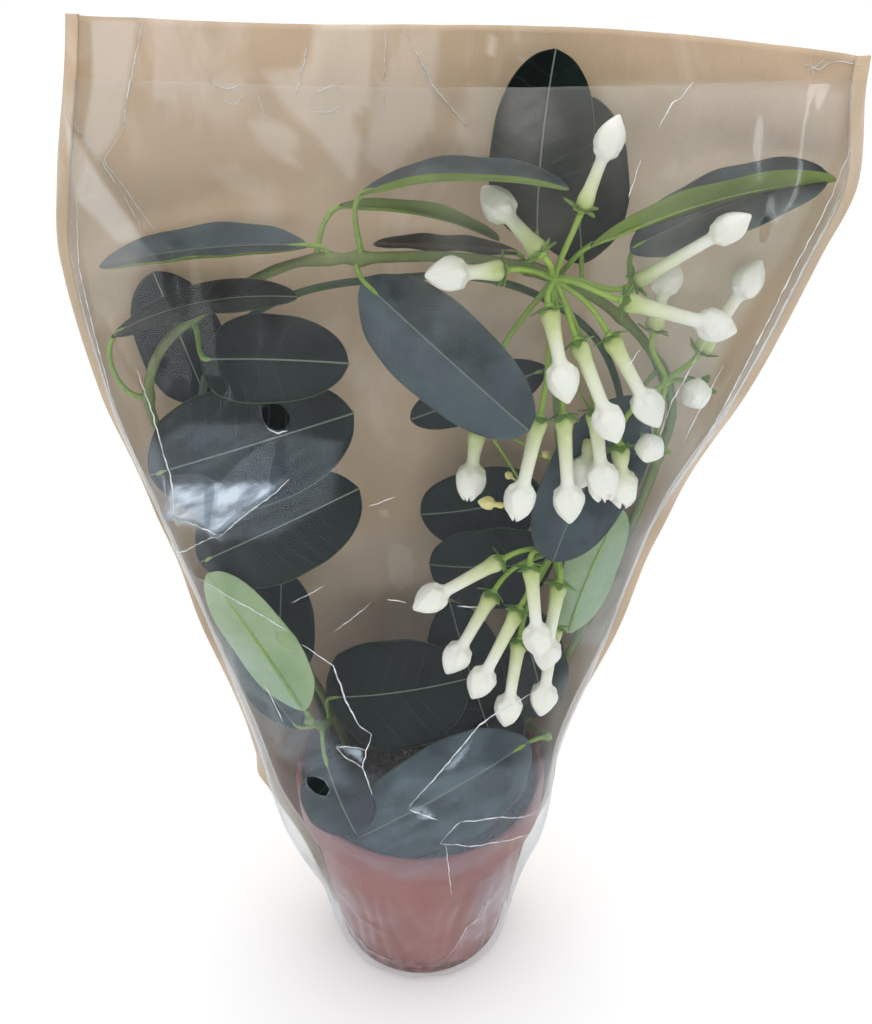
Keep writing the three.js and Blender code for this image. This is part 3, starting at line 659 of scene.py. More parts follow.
HOOP_POINTS = [
    (-48, 18, ROOT_DEPTH), (-48, 18, 112), (-56, 17, 155), (-74, 13, 220), (-88, 7, 275),
    (-93, 3, 315), (-88, 2, 348), (-70, 4, 371), (-45, 6, 383), (-10, 7, 388), (25, 8, 388),
    (52, 11, 378), (76, 14, 358), (90, 15, 325), (90, 15, 285), (78, 17, 225), (63, 19, 165),
    (50, 20, 112), (49, 20, ROOT_DEPTH),
]
STEM_POINTS = [
    (-38, 8, ROOT_DEPTH), (-38, 8, 112), (-46, 9, 146), (-64, 6, 195), (-86, 2, 250),
    (-102, -1, 300), (-113, -2, 335), (-105, -1, 360), (-80, 3, 380), (-48, 3, 396), (-20, -4, 401),
    (14, -3, 401), (46, 0, 395), (74, 4, 380), (97, 6, 358), (110, 6, 330), (105, 6, 295),
    (94, 7, 250), (81, 8, 205), (61, 10, 150), (42, 10, 112), (41, 10, ROOT_DEPTH),
]
SHOOT_POINTS = {
    "shoot_left": [(-46, 9, 146), (-47, -8, 154), (-50, -26, 172), (-52, -34, 182)],
    "shoot_inner": [(81, 8, 205), (74, 12, 225), (68, 14, 260), (64, 15, 300), (60, 15, 338)],
    "shoot_right": [(54, 10, 136), (62, -5, 146), (64, -20, 157)],
}
stems = {"stem": (route(STEM_POINTS, 420), STEM_RADIUS)}
for name, points in SHOOT_POINTS.items():
    stems[name] = (route(points, 90), SHOOT_RADIUS)
joints = {name: [] for name in stems}  # where stalks leave each stem


def seat(stem, near, towards):
    """Where a stalk leaves a stem: a point inside its bark, and the way out."""
    path, radius = stems[stem]
    k = int(np.argmin(np.linalg.norm(path - near, axis=1)))
    joints[stem].append(k)
    along = unit(np.gradient(path, axis=0)[k])
    out = np.subtract(towards, path[k]).astype(float)
    out = unit(out - along * out.dot(along))
    return path[k] + out * (radius - BARK_DEPTH), out


def stalk_path(start, out, end, arriving, count=22):
    reach = 0.4 * np.linalg.norm(end - start)
    return bezier(start, start + out * reach, end - arriving * reach, end, count)


# ---- leaves -------------------------------------------------------------------------------------

# Leaves whose glossy side is given a lighter grey base colour, a painted reflection of the room,
# and leaves that show their pale underside.
PAINTED_SHEEN_LEAVES = {"centre", "right_front", "front_low", "left_high", "top_flat", "right_dark"}
PALE_LEAVES = {"left_pale", "right_pale"}
LEAF_FOLD = 0.14
LEAF_SKIN = 0.42
PETIOLE_STATIONS = [0, 0.12, 0.5, 1]
PETIOLE_RADII = [1.5, 1.15, 1.0, 1.1]
RIB_START, RIB_END = 0.12, 0.95  # of the rib under the blade
RIB_RADII = [1.0, 0.28]
BLADE_STATIONS = [0, 0.008, 0.025, 0.06, 0.12, 0.2, 0.42, 0.66, 0.78, 0.86, 0.92, 0.96, 0.98, 1]
BLADE_SHARES = [0.05, 0.15, 0.27, 0.43, 0.65, 0.84, 1, 0.94, 0.83, 0.7, 0.54, 0.38, 0.25, 0.02]
MARGIN_CURL = {"top_flat": -5, "left_high": 4}  # how far one margin turns up; the sign says which

# Each leaf: its stem and the place there, the blade's base and tip, the way its glossy side looks,
# its width, how far its middle rises, and, where it does, how far it leans sideways.
LEAVES = {
    "top_tall": ("stem", (46, 0, 395), (49, 14, 400), (52, 12, 475), (0, -1, 0), 40, 2, 2),
    "top_dark": ("stem", (68, 3, 384), (69, 23, 388), (63, 21, 457), (0, -1, 0), 40, 0, 1),
    "top_flat": ("stem", (-20, -4, 401), (-20, -9, 428), (57, -15, 432), (0, 0, 1), 36, 6),
    "top_under": ("stem", (-38, 0, 398), (-30, 13, 416), (34, 18, 400), (0.2, 0.5, 0.9), 32, 4),
    "top_thin": ("stem", (44, 0, 396), (42, 17, 395), (-17, 16, 399), (0, 0.1, 1), 26, 1),
    "left_high": ("stem", (-34, 0, 399), (-42, 1, 404), (-123, -5, 398), (-0.1, -0.1, 1), 36, 3),
    "left_cross": (
        "stem", (-113, -2, 338), (-123, -4, 368), (-45, -19, 391), (-0.3, -0.1, 1), 28, 6,
    ),
    "left_back": ("stem", (-105, -1, 312), (-91, 13, 326), (-106, 9, 390), (0.2, -1, 0), 37, 0),
    "left_upper": (
        "stem", (-90, 1, 372), (-87, -10, 360), (-25, -35, 371), (-0.4, -0.7, 0.6), 36, 4,
    ),
    "left_front": (
        "stem", (-99, -1, 290), (-116, -7, 303), (-24, -36, 350), (-0.35, -0.9, 0.25), 52, 3,
    ),
    "left_mid": (
        "stem", (-83, 3, 243), (-101, -2, 252), (-24, -27, 309), (-0.45, -0.9, 0.05), 48, 2,
    ),
    "left_pale": (
        "shoot_left", (-52, -34, 180), (-54, -35, 190), (-96, -12, 253), (0.4, 0.9, -0.2),
        36, -3, 4,
    ),
    "left_low_back": ("stem", (-58, 7, 178), (-71, -1, 175), (-63, -6, 250), (0.1, -1, 0), 34, 2),
    "left_low": (
        "shoot_left", (-49, -20, 166), (-60, -17, 160), (-87, -9, 211), (-0.25, -0.95, 0), 25, 2,
    ),
    "centre_low": (
        "shoot_left", (-47, -4, 152), (-46, -6, 171), (24, -12, 189), (0, -0.95, 0.3), 60, 5,
    ),
    "rim_left": (
        "shoot_left", (-49, -18, 164), (-46, -30, 152), (-31, -49, 120), (-0.3, -0.7, 0.6), 38, 3,
    ),
    "front_low": (
        "shoot_right", (64, -19, 156), (54, -26, 160), (-31, -46, 113), (0, -0.85, 0.5), 50, 7,
    ),
    "right_back_high": (
        "shoot_inner", (65, 15, 282), (58, 19, 277), (1, 17, 266), (0, -1, 0.2), 40, 5,
    ),
    "right_back_mid": (
        "shoot_inner", (70, 14, 250), (64, 8, 246), (5, 6, 245), (0.1, -1, 0.05), 46, 4,
    ),
    "right_low_left": ("stem", (49, 10, 115), (42, 0, 122), (15, 6, 222), (0, -1, 0.1), 43, 8),
    "right_low_right": (
        "stem", (69, 9, 172), (63, -6, 158), (46, -7, 230), (0.4, -0.9, 0.1), 34, 4,
    ),
    "right_front": (
        "stem", (103, 6, 347), (95, 0, 337), (60, -22, 267), (0.15, -1, 0.2), 42, 1, -4,
    ),
    "right_pale": ("stem", (84, 8, 215), (72, -6, 213), (91, -4, 284), (0, 1, 0), 26, -3, -3),
    "right_arch": ("stem", (57, 1, 391), (67, -12, 409), (158, -4, 432), (-0.2, 0.62, 0.76), 30, 5),
    "right_dark": ("stem", (84, 5, 372), (86, 10, 399), (157, 2, 432), (-0.3, -0.3, 0.9), 40, 3),
    "small_behind": (
        "shoot_inner", (60, 15, 336), (56, 14, 344), (-3, 8, 322), (0, -0.9, 0.4), 22, 2,
    ),
    "centre": ("stem", (-22, -4, 401), (-20, -12, 395), (45, -38, 343), (-0.1, -0.9, 0.4), 38, 4),
}


def make_leaf(name, number, on, near, base, tip, face, width, arch, bend=0):
    """A blade that hangs on its stalk; the stalk goes on under it as the midrib."""
    base, tip = np.array(base, float), np.array(tip, float)
    length = np.linalg.norm(tip - base)
    along = (tip - base) / length
    normal = np.array(face, float)
    normal = unit(normal - along * normal.dot(along))
    side = np.cross(normal, along)

    def midrib(t):
        t = np.asarray(t, float)[..., None]
        return base + along * t * length + 4 * t * (1 - t) * (normal * arch + side * bend)

    turns = np.linspace(0, np.pi, 44)
    t = (1 - np.cos(turns)) / 2
    spine = midrib(t)
    heading = unit(midrib(t + 0.01) - midrib(t - 0.01))
    across = unit(side - heading * (heading @ side)[:, None])
    up = np.cross(heading, across)
    halves = smooth(BLADE_STATIONS, BLADE_SHARES, t) * width / 2

    dice = np.random.default_rng(100 + number)
    pitches, starts = dice.uniform(1.2, 3.4, 2), dice.uniform(0, 6.3, 2)
    heights = dice.uniform(0.35, 0.8, 2)

    def wave(s, x):
        """The margins rise and fall a little, each on its own."""
        lift = np.zeros_like(x)
        for sign, pitch, start, height in zip((-1, 1), pitches, starts, heights):
            swell = height * np.sin(2 * np.pi * pitch * t + start) * np.sin(np.pi * t)
            curl = max(0, sign * MARGIN_CURL.get(name, 0)) * np.sqrt(np.sin(np.pi * t))
            rise = swell[:, None] * np.abs(s) ** 3 + curl[:, None] * s**4
            lift += np.where(np.sign(s) == sign, rise, 0)
        return lift - 0.35 * np.abs(s) ** 8

    shape = Shape()
    blade(shape, spine, across, up, halves, LEAF_SKIN, LEAF_FOLD, wave, offset=number * 137.0)
    start, out = seat(on, near, base)
    end = midrib(0.07) - normal * 0.3
    petiole = stalk_path(start, out, end, along)
    under = np.linspace(RIB_START, RIB_END, 26)
    lean = unit(np.cross(unit(midrib(under + 0.01) - midrib(under - 0.01)), side))
    radii = np.interp(under, [0.1, RIB_END], RIB_RADII)
    below = (radii + LEAF_SKIN - 0.55) * -np.sign(lean @ normal)
    rib = midrib(under) + lean * below[:, None]
    path = np.vstack([petiole, rib])
    widths = np.interp(np.linspace(0, 1, len(petiole)), PETIOLE_STATIONS, PETIOLE_RADII)
    tube(shape, path, np.concatenate([widths, radii]), sides=12, finish=2, level=0.2)
    upper = LEAF_PAINTED_SHEEN if name in PAINTED_SHEEN_LEAVES else LEAF_UPPER
    under = LEAF_PALE if name in PALE_LEAVES else LEAF_UNDER
    shape.piece(f"look_leaf_{name}", [upper, under, STALK], "leaf_green", f"leaf_{name}")


for number, (name, leaf) in enumerate(LEAVES.items()):
    make_leaf(name, number, *leaf)

# ---- flower buds --------------------------------------------------------------------------------

KNOB_RADIUS = 2.08  # of the hub that a bunch's stalks leave
PEDUNCLE_STATIONS = [0, 0.15, 0.8, 1]
PEDUNCLE_RADII = [2.1, 1.6, 1.55, 1.9]
PEDICEL_STATIONS = [0, 0.2, 0.8, 1]
PEDICEL_SWELL = [1.2, 1.0, 1.0, 1.1]
PEDICEL_RADIUS = 1.15
YOUNG_STALK_RADIUS = 0.6
PEDICEL_RISE = 0.35  # how far a pedicel leaves its hub upwards
CALYX_HEIGHT = 2.4
# The calyx's cup: how far along, and the radius.
CALYX_CUP = [(-2.6, 1.0), (-2.0, 1.3), (-1.2, 2.0), (-0.6, 2.35), (-0.35, 2.2)]
SEPAL_LENGTH = 5.8
SEPAL_SKIN = 0.24
SEPAL_FOLD = 0.25
SEPAL_STATIONS = [0, 0.7, 1.4, 2.3, np.pi]
SEPAL_HALVES = [0.8, 1.6, 1.85, 1.0, 0.05]
SEAT_GAP = 0.35
YOUNG_BUD_LENGTH = 26  # shorter buds are smaller all round
PETALS = 5  # and as many sepals
BUD_SIDES = 60
TUBE_RINGS = 16
HEAD_RINGS = 44
HEAD_LENGTH = 19
BUD_TWIST = 0.75  # in radians, from the head's shoulder to its tip
# The bud's outline at its foot, and from its tip back: how far along, and the radius.
BUD_FOOT = [(0, 3.2), (0.8, 3.8), (2.2, 4.0), (4.5, 3.7), (7, 3.2)]
BUD_HEAD = [
    (18.5, 2.7), (17, 3.0), (15.9, 3.8), (14.8, 5.0), (13, 6.2), (11, 6.7), (8.8, 6.6), (6.6, 5.9),
    (4.6, 4.8), (2.8, 3.4), (1.4, 2.1), (0.5, 1.1), (0, 0.4),
]
BUD_GIRTH = {"bud_upper_1": 0.82, "bud_upper_8": 0.85}  # the slimmer buds
# Buds whose petals have begun to part, and how far.
PARTED = {"bud_upper_11": 1.0, "bud_side_4": 0.8, "bud_upper_12": 0.5, "bud_upper_9": 0.35}

# Each bunch: its stem and the place there, its hub, and each bud's foot and tip.
BUNCHES = {
    "upper": ("stem", (50, 0, 393), (54, -9, 394), [
        ((63, -12, 424), (73, -16, 459)), ((48, -14, 407), (26, 6, 426)),
        ((34, -16, 401), (4, -24, 402)), ((52, -18, 386), (60, -34, 353)),
        ((64, -18, 372), (81, -34, 335)), ((77, -16, 373), (98, -28, 339)),
        ((81, -15, 388), (127, -15, 375)), ((87, -4, 391), (124, -20, 424)),
        ((50, -24, 341), (41, -38, 300)), ((60, -22, 341), (64, -37, 298)),
        ((73, -19, 342), (78, -34, 307)), ((26, -4, 324), (22, -14, 294)),
    ]),
    "side": ("stem", (109, 6, 344), (104, -4, 347), [
        ((117, -2, 360), (137, 2, 398)), ((120, 4, 340), (113, -18, 347)),
        ((97, -1, 369), (102, 6, 399)), ((85, -18, 324), (88, -25, 298)),
        ((100, -12, 320), (94, -31, 331)),
    ]),
    "lower": ("shoot_inner", (68, 14, 264), (62, -10, 264), [
        ((37, -22, 268), (-2, -34, 250)), ((34, -19, 247), (13, -32, 210)),
        ((46, -22, 240), (25, -37, 199)), ((50, -24, 266), (55, -38, 225)),
        ((64, -18, 252), (58, -30, 210)), ((47, -22, 222), (41, -36, 180)),
        ((64, -15, 224), (58, -31, 182)),
    ]),
}

# More buds that hang on a bunch: where their stalk starts, their foot and tip, and their girth.
YOUNG_BUDS = {
    "upper": [
        ((66, -17, 352), (74, -12, 324), (67.6, -24, 306), 1.0),
        ((49, -23, 338), (37, -22, 297), (26, -24, 300.5), 0.75),
        ((27, -4, 330), (42, -12, 304), (38, -14, 308.5), 0.6),
        ((27, -4, 330), (57.5, -10, 313), (53.5, -12, 318), 0.6),
    ],
}


def spread_from(axis):
    """Two directions square to an axis."""
    first = unit(np.cross(axis, [0, 0, 1] if abs(axis[2]) < 0.9 else [1, 0, 0]))
    return first, np.cross(axis, first)


def add_bud(shape, foot, tip, number, parted=0.0, girth=1.0, finish=0):
    """A bud: a tube with a swollen foot, and a head of five petals that wrap round each other."""
    foot, tip = np.array(foot, float), np.array(tip, float)
    length = np.linalg.norm(tip - foot)
    axis = (tip - foot) / length
    size = min(1, length / YOUNG_BUD_LENGTH)
    stations = [(s * size + SEAT_GAP * size, radius * size) for s, radius in BUD_FOOT]
    stations += [(length - s * size, radius * (0.25 + 0.75 * size)) for s, radius in BUD_HEAD]
    reaches, radii = zip(*stations)
    places = np.concatenate([
        np.linspace(SEAT_GAP * size, length - HEAD_LENGTH * size, TUBE_RINGS, endpoint=False),
        length - size * np.linspace(HEAD_LENGTH, 0, HEAD_RINGS),
    ])
    from_tip = (length - places) / size
    radius = girth * smooth(reaches, radii, places) + parted * 2.3 * size * step(9, 0.5, from_tip)
    first, second = spread_from(axis)
    dice = np.random.default_rng(500 + number)
    phase, twist = dice.uniform(0, 6.3), BUD_TWIST * dice.uniform(0.8, 1.25)
    angles = circle(BUD_SIDES)
    strength = step(16.5, 13, from_tip)[:, None]
    turned = angles[None, :] + phase + (twist * np.maximum(0, 16 - from_tip) / 16)[:, None]
    petal = (turned * PETALS / (2 * np.pi)) % 1
    # The head is five-sided, and each petal's edge stands a little proud of the next one.
    five_sided = np.cos(np.pi / PETALS) / np.cos((petal - 0.5) * 2 * np.pi / PETALS)
    edge = np.where(petal < 0.92, petal / 0.92, (1 - petal) / 0.08) - 0.5
    lobe = np.cos(2 * np.pi * (petal - 0.5))
    ear = 0.13 * np.exp(-(((from_tip - 14.6) / 1.3) ** 2))[:, None] * lobe
    reach = radius[:, None] * (1 + strength * (0.42 * (five_sided - 0.93) + 0.085 * edge) + ear)
    # The petals' ends are points, and the deeper between them the further they have parted.
    point = (1 - lobe) / 2 * step(4.5, 0, from_tip)[:, None] * size * (0.5 + 3.6 * parted)
    along = places[:, None] - point + 0 * reach
    if parted:
        reach = np.vstack([reach, reach[-1:] * 0.72, reach[-1:] * 0.2])
        along = np.vstack([along, along[-1:] - 0.9 * size, along[-1:] * 0 + length - 9 * size])
        petal = np.vstack([petal, petal[-1:], petal[-1:]])
        strength = np.vstack([strength, strength[-1:], strength[-1:]])
    rings = (
        foot
        + axis * along[..., None]
        + first * (reach * np.cos(angles))[..., None]
        + second * (reach * np.sin(angles))[..., None]
    )
    # How far each point lies from a petal's overlapping edge, where the finish paints a line of
    # shade.
    groove = np.where(strength > 0.02, np.abs(petal - 0.98) * 5, 1).clip(0, 1)
    share = np.stack([along / length, groove], axis=-1)
    loft(shape, rings, finish, share=share)


def make_bud(name, foot, tip, number):
    shape = Shape()
    add_bud(shape, foot, tip, number, PARTED.get(name, 0.0), BUD_GIRTH.get(name, 1.0))
    shape.piece(f"look_{name}", [PETAL], "petal_white", name)


def add_calyx(shape, foot, axis, number):
    """A small cup that opens in five pointed sepals."""
    foot = np.array(foot, float)
    reach, radii = np.transpose(CALYX_CUP)
    tube(shape, foot + axis * reach[:, None], radii, sides=16, level=0.7)
    first, second = spread_from(axis)
    dice = np.random.default_rng(900 + number)
    start = dice.uniform(0, 6.3)
    turns = np.linspace(0, np.pi, 11)
    t = (1 - np.cos(turns)) / 2
    for k in range(PETALS):
        angle = start + 2 * np.pi * k / PETALS + dice.uniform(-0.12, 0.12)
        out = first * math.cos(angle) + second * math.sin(angle)
        lift = dice.uniform(-0.6, 2.4)
        length = SEPAL_LENGTH + dice.uniform(-0.4, 0.9)
        rise = np.interp(t, [0, 0.4, 1], [-1.0, -0.2, lift])[:, None]
        spine = foot + out * (1.5 + t[:, None] * length) + axis * rise
        heading = unit(np.gradient(spine, axis=0))
        across = np.cross(axis, out) + 0 * spine
        up = np.cross(heading, across)
        halves = smooth(SEPAL_STATIONS, SEPAL_HALVES, turns)
        blade(
            shape, spine, across, up, halves, SEPAL_SKIN, SEPAL_FOLD,
            finishes=(1, 1), offset=k * 9.0, columns=7,
        )


def make_bunch(name, on, near, hub, buds, first_number):
    """A bunch of green stalks and calyces, and its buds, which are pieces of their own."""
    shape = Shape()
    hub = np.array(hub, float)
    start, out = seat(on, near, hub)
    peduncle = stalk_path(start, out, hub, unit(hub - start), 14)
    radii = np.interp(np.linspace(0, 1, 14), PEDUNCLE_STATIONS, PEDUNCLE_RADII)
    tube(shape, peduncle, radii, sides=14, level=0.2)
    knob, faces = ball(3, KNOB_RADIUS)
    knob = knob * (1 + 0.14 * ripple(knob, 2.2, 3))[:, None] + hub
    shape.add(knob, faces, share=np.full((len(knob), 2), 0.4))
    for k, (foot, tip) in enumerate(buds):
        foot, tip = np.array(foot, float), np.array(tip, float)
        axis = unit(tip - foot)
        end = foot + axis * (0.3 - CALYX_HEIGHT)
        leaving = unit(unit(end - hub) + (0, 0, PEDICEL_RISE))
        pedicel = stalk_path(hub, leaving, end, axis, 22)
        swell = np.interp(np.linspace(0, 1, 22), PEDICEL_STATIONS, PEDICEL_SWELL)
        tube(shape, pedicel, swell * PEDICEL_RADIUS, sides=14, level=0.45)
        add_calyx(shape, foot, axis, first_number + k)
        make_bud(f"bud_{name}_{k + 1}", foot, tip, first_number + k)
    for k, (root, foot, tip, girth) in enumerate(YOUNG_BUDS.get(name, [])):
        root, foot, tip = (np.array(point, float) for point in (root, foot, tip))
        axis = unit(tip - foot)
        stalk = stalk_path(root, unit(foot - root), foot, axis, 14)
        tube(shape, stalk, YOUNG_STALK_RADIUS, sides=10, level=0.45)
        add_bud(shape, foot, tip, first_number + 60 + k, girth=girth, finish=2 if girth == 1 else 3)
    materials = [STALK, SEPAL, PETAL, YOUNG_BUD]
    shape.piece(f"look_bunch_{name}", materials, "stalk_green", f"bunch_{name}")


for number, (name, bunch) in enumerate(BUNCHES.items()):
    make_bunch(name, *bunch, 20 * number)


def make_vine():
    """The stem and its shoots, a little thicker at each joint."""
    shape = Shape()
    for name, (path, radius) in stems.items():
        radii = np.full(len(path), float(radius))
        reach = np.arange(len(path)) * np.linalg.norm(path[1] - path[0])
        for k in joints[name]:
            radii += JOINT_SWELL * np.exp(-(((reach - reach[k]) / JOINT_REACH) ** 2))
        radii += 0.12 * ripple(path, 9, 5)
        tube(shape, path, radii, sides=16, level=-0.1 if name == "stem" else 0.3)
    shape.piece("look_vine", [VINE_BARK], "stem_green", "vine")


def make_hoop():
    shape = Shape()
    tube(shape, route(HOOP_POINTS, 260), HOOP_RADIUS, sides=16)
    shape.piece("look_hoop", [hoop_finish()], "coated_wire", "hoop")


make_vine()
make_hoop()

# ---- pot and soil -------------------------------------------------------------------------------

POT_HEIGHT = 118
POT_RIM_RADIUS = 65.5
POT_BASE_RADIUS = 46
POT_WALL = 2.6
POT_FLOOR = 3
BAND_BOTTOM = 98
WALL_TOP_RADIUS = 61
MOUTH_RADIUS = POT_RIM_RADIUS - POT_WALL - 0.6
DRAIN_HOLES = 4
DRAIN_HOLE_RADIUS = 5
DRAIN_HOLE_RING = 31
SOIL_TOP = 103
SOIL_MOUND = 4
SOIL_SHOULDER = 94
SOIL_CLEAR = 0.6  # between the soil and the pot's wall
SOIL_SEGMENTS = 150
SOIL_RINGS = 46
SOIL_RIPPLES = [(30, 1.3, 1), (11, 0.9, 2), (4.5, 0.5, 3), (2.2, 0.25, 4)]  # size, height and seed
CRUMBS = 520
CRUMB_SIZES = (0.6, 2.0)


def wall_radius(z):
    return POT_BASE_RADIUS + (WALL_TOP_RADIUS - POT_BASE_RADIUS) * z / BAND_BOTTOM


INNER_FLOOR_RADIUS = wall_radius(POT_FLOOR) - POT_WALL


def lathe(shape, profile, segments):
    """Adds a body of revolution; the profile starts and ends on the axis."""
    angles = circle(segments)
    rings = [[(r * math.cos(a), r * math.sin(a), z) for a in angles] for r, z in profile[1:-1]]
    points = [(0, 0, profile[0][1]), *[p for ring in rings for p in ring], (0, 0, profile[-1][1])]
    faces = []
    for i in range(segments):
        j = (i + 1) % segments
        faces.append([0, 1 + j, 1 + i])
        for k in range(len(rings) - 1):
            low, high = 1 + k * segments, 1 + (k + 1) * segments
            faces.append([low + i, low + j, high + j, high + i])
        top = 1 + (len(rings) - 1) * segments
        faces.append([top + i, top + j, len(points) - 1])
    shape.add(points, faces)


def make_pot():
    """The pot's wall, rim band and floor in one turned body, with the drain holes cut out."""
    profile = [
        (0, 0), (30, 0),
        (POT_BASE_RADIUS - 1.4, 0), (POT_BASE_RADIUS - 0.5, 0.3), (POT_BASE_RADIUS, 1.2),
        (wall_radius(4), 4), (wall_radius(40), 40), (wall_radius(80), 80),
        (WALL_TOP_RADIUS, BAND_BOTTOM - 0.4), (WALL_TOP_RADIUS + 0.5, BAND_BOTTOM),
        (POT_RIM_RADIUS - 1.2, BAND_BOTTOM + 0.6), (POT_RIM_RADIUS - 0.55, BAND_BOTTOM + 1.3),
        (POT_RIM_RADIUS - 0.4, BAND_BOTTOM + 3), (POT_RIM_RADIUS, POT_HEIGHT - 4),
        (POT_RIM_RADIUS, POT_HEIGHT - 1.6), (POT_RIM_RADIUS - 0.5, POT_HEIGHT - 0.4),
        (POT_RIM_RADIUS - 1.3, POT_HEIGHT), (MOUTH_RADIUS + 0.7, POT_HEIGHT),
        (MOUTH_RADIUS, POT_HEIGHT - 0.6), (MOUTH_RADIUS - 0.5, BAND_BOTTOM + 4),
        (wall_radius(BAND_BOTTOM) - POT_WALL, BAND_BOTTOM - 4), (wall_radius(50) - POT_WALL, 50),
        (INNER_FLOOR_RADIUS, POT_FLOOR + 1), (INNER_FLOOR_RADIUS - 1, POT_FLOOR),
        (0, POT_FLOOR),
    ]
    shape = Shape()
    lathe(shape, profile, 144)
    pot = shape.piece("look_pot", [pot_finish()], "pot_plastic", "pot")
    for k in range(DRAIN_HOLES):
        angle = 2 * math.pi * (k + 0.5) / DRAIN_HOLES
        drill_shape = bmesh.new()
        bmesh.ops.create_cone(
            drill_shape, cap_ends=True, segments=32, depth=20 * MM,
            radius1=DRAIN_HOLE_RADIUS * MM, radius2=DRAIN_HOLE_RADIUS * MM,
        )
        place = Vector((math.cos(angle), math.sin(angle), 0)) * DRAIN_HOLE_RING * MM
        bmesh.ops.translate(drill_shape, verts=drill_shape.verts, vec=place)
        mesh = bpy.data.meshes.new("drill")
        drill_shape.to_mesh(mesh)
        drill_shape.free()
        drill = add_object("drill", mesh)
        cut = pot.modifiers.new("drain_hole", "BOOLEAN")
        cut.operation, cut.object, cut.solver = "DIFFERENCE", drill, "EXACT"
        graph = bpy.context.evaluated_depsgraph_get()
        pot.data = bpy.data.meshes.new_from_object(pot.evaluated_get(graph))
        pot.modifiers.clear()
        bpy.data.objects.remove(drill)
    edges = pot.modifiers.new("edges", "WEIGHTED_NORMAL")
    edges.keep_sharp = True
    pot.data.shade_smooth()


def soil_height(x, y):
    places = np.stack([x, y], axis=-1)
    mound = SOIL_TOP + SOIL_MOUND * (1 - (np.hypot(x, y) / MOUTH_RADIUS) ** 2)
    for size, height, seed in SOIL_RIPPLES:
        mound = mound + height * ripple(places, size, seed)
    return mound


def make_soil():
    """The soil's crumbly top down to the pot's floor, and loose crumbs on it."""
    shape = Shape()
    angles = circle(SOIL_SEGMENTS)
    rings = []
    for z, lift in ((POT_FLOOR, 0.35), (SOIL_SHOULDER, 0)):
        radius, z = wall_radius(z) - POT_WALL - SOIL_CLEAR, z + lift
        x, y = radius * np.cos(angles), radius * np.sin(angles)
        rings.append(np.stack([x, y, 0 * angles + z], axis=-1))
    for radius in np.linspace(MOUTH_RADIUS - 1.2, 1.0, SOIL_RINGS):
        x, y = radius * np.cos(angles), radius * np.sin(angles)
        rings.append(np.stack([x, y, soil_height(x, y)], axis=-1))
    loft(shape, rings)
    corners, faces = ball(2, 1)
    rng = np.random.default_rng(20)
    for k in range(CRUMBS):
        radius = (MOUTH_RADIUS - 4) * math.sqrt(rng.uniform())
        angle = rng.uniform(0, 2 * np.pi)
        size = rng.uniform(*CRUMB_SIZES)
        x, y = radius * math.cos(angle), radius * math.sin(angle)
        z = float(soil_height(np.array(x), np.array(y)))
        stretch = rng.uniform(0.5, 1.3, 3)
        crumb = corners * stretch * size * (1 + 0.3 * ripple(corners, 1.4, 50 + k % 23))[:, None]
        shape.add(crumb + (x, y, z + 0.25 * size), faces, finishes=1)
    shape.piece("look_soil", [soil_finish(), crumb_finish()], "soil", "soil")


make_pot()
make_soil()

# ---- sales sleeve -------------------------------------------------------------------------------

# The sleeve's section at each height: its side seams, how far the film stands out in front and the
# paper behind, and the width of the flap outside each seam.
SLEEVE_KEYS = [
    (3, -49, 49, 49, 49, 3, 2), (52, -58, 56, 57.5, 57.5, 6, 1), (96, -74, 68, 66.3, 66.3, 8, 3),
    (108, -77, 69.5, 66.8, 66.8, 10, 2.5), (124, -80, 70, 67.5, 66.5, 7, 3),
    (150, -85, 74.5, 66, 62, 6, 4), (200, -97, 89, 61, 54, 5.5, 5), (285, -117, 110, 57, 48, 3, 6),
    (340, -130, 135, 55, 46, 4, 5.5), (400, -135, 155, 49, 44, 4.5, 4.5),
    (430, -130, 163, 43, 42, 5, 5), (468, -121, 158, 28, 38, 5, 6), (492, -116, 158, 26, 37, 5, 5),
]
SLEEVE_BOTTOM = 3
ROUND_BELOW = 104
LENS_ABOVE = 200
FILM_TOP = 467
FILM_CROWN = 5
PAPER_TOP_LEFT = 489
PAPER_TOP_RIGHT = 475
SHEET_OUT = 0.62  # how far the sheets stand outside the CAD's inner faces
SHEET_THICKNESS = 0.16
# Each vent hole: across, up, and its width for its height; a fold pinches the last.
VENTS = [(-52, 356, 1), (-55, 247, 1), (-46, 162, 1), (127, 421, 0.45)]
VENT_RADIUS = 5.5
LIP_HEIGHT = 0.5  # of the vents' rims, which stand out
LIP_WIDTH = 1.2
GATHER_TOP = 165  # below it the sheets gather round the pot, in pleats
GATHER_FULL = 60  # where the pleats reach their full depth
GATHER_DEPTH = 0.7
GATHER_PLEATS = 21
FLAP_SWING = 1.2  # how far the seams' flaps wave
FLAP_CELLS = 5  # columns of the mesh in each seam's flap
SHEET_GAP = 0.35  # between the two sheets' inner faces at the seams
FOLD_LIMIT = 3.5  # the furthest that folds stand out
WHITE_BAR_FROM = 0.65  # folds higher than this have a white ridge, whitening and a painted glint
FILM_BAR_AHEAD = 0.05  # how far a ridge's middle lies in front of its sheet
PAPER_BAR_AHEAD = 0.25
BAR_STEP = 1.1  # the spacing of a ridge's rings

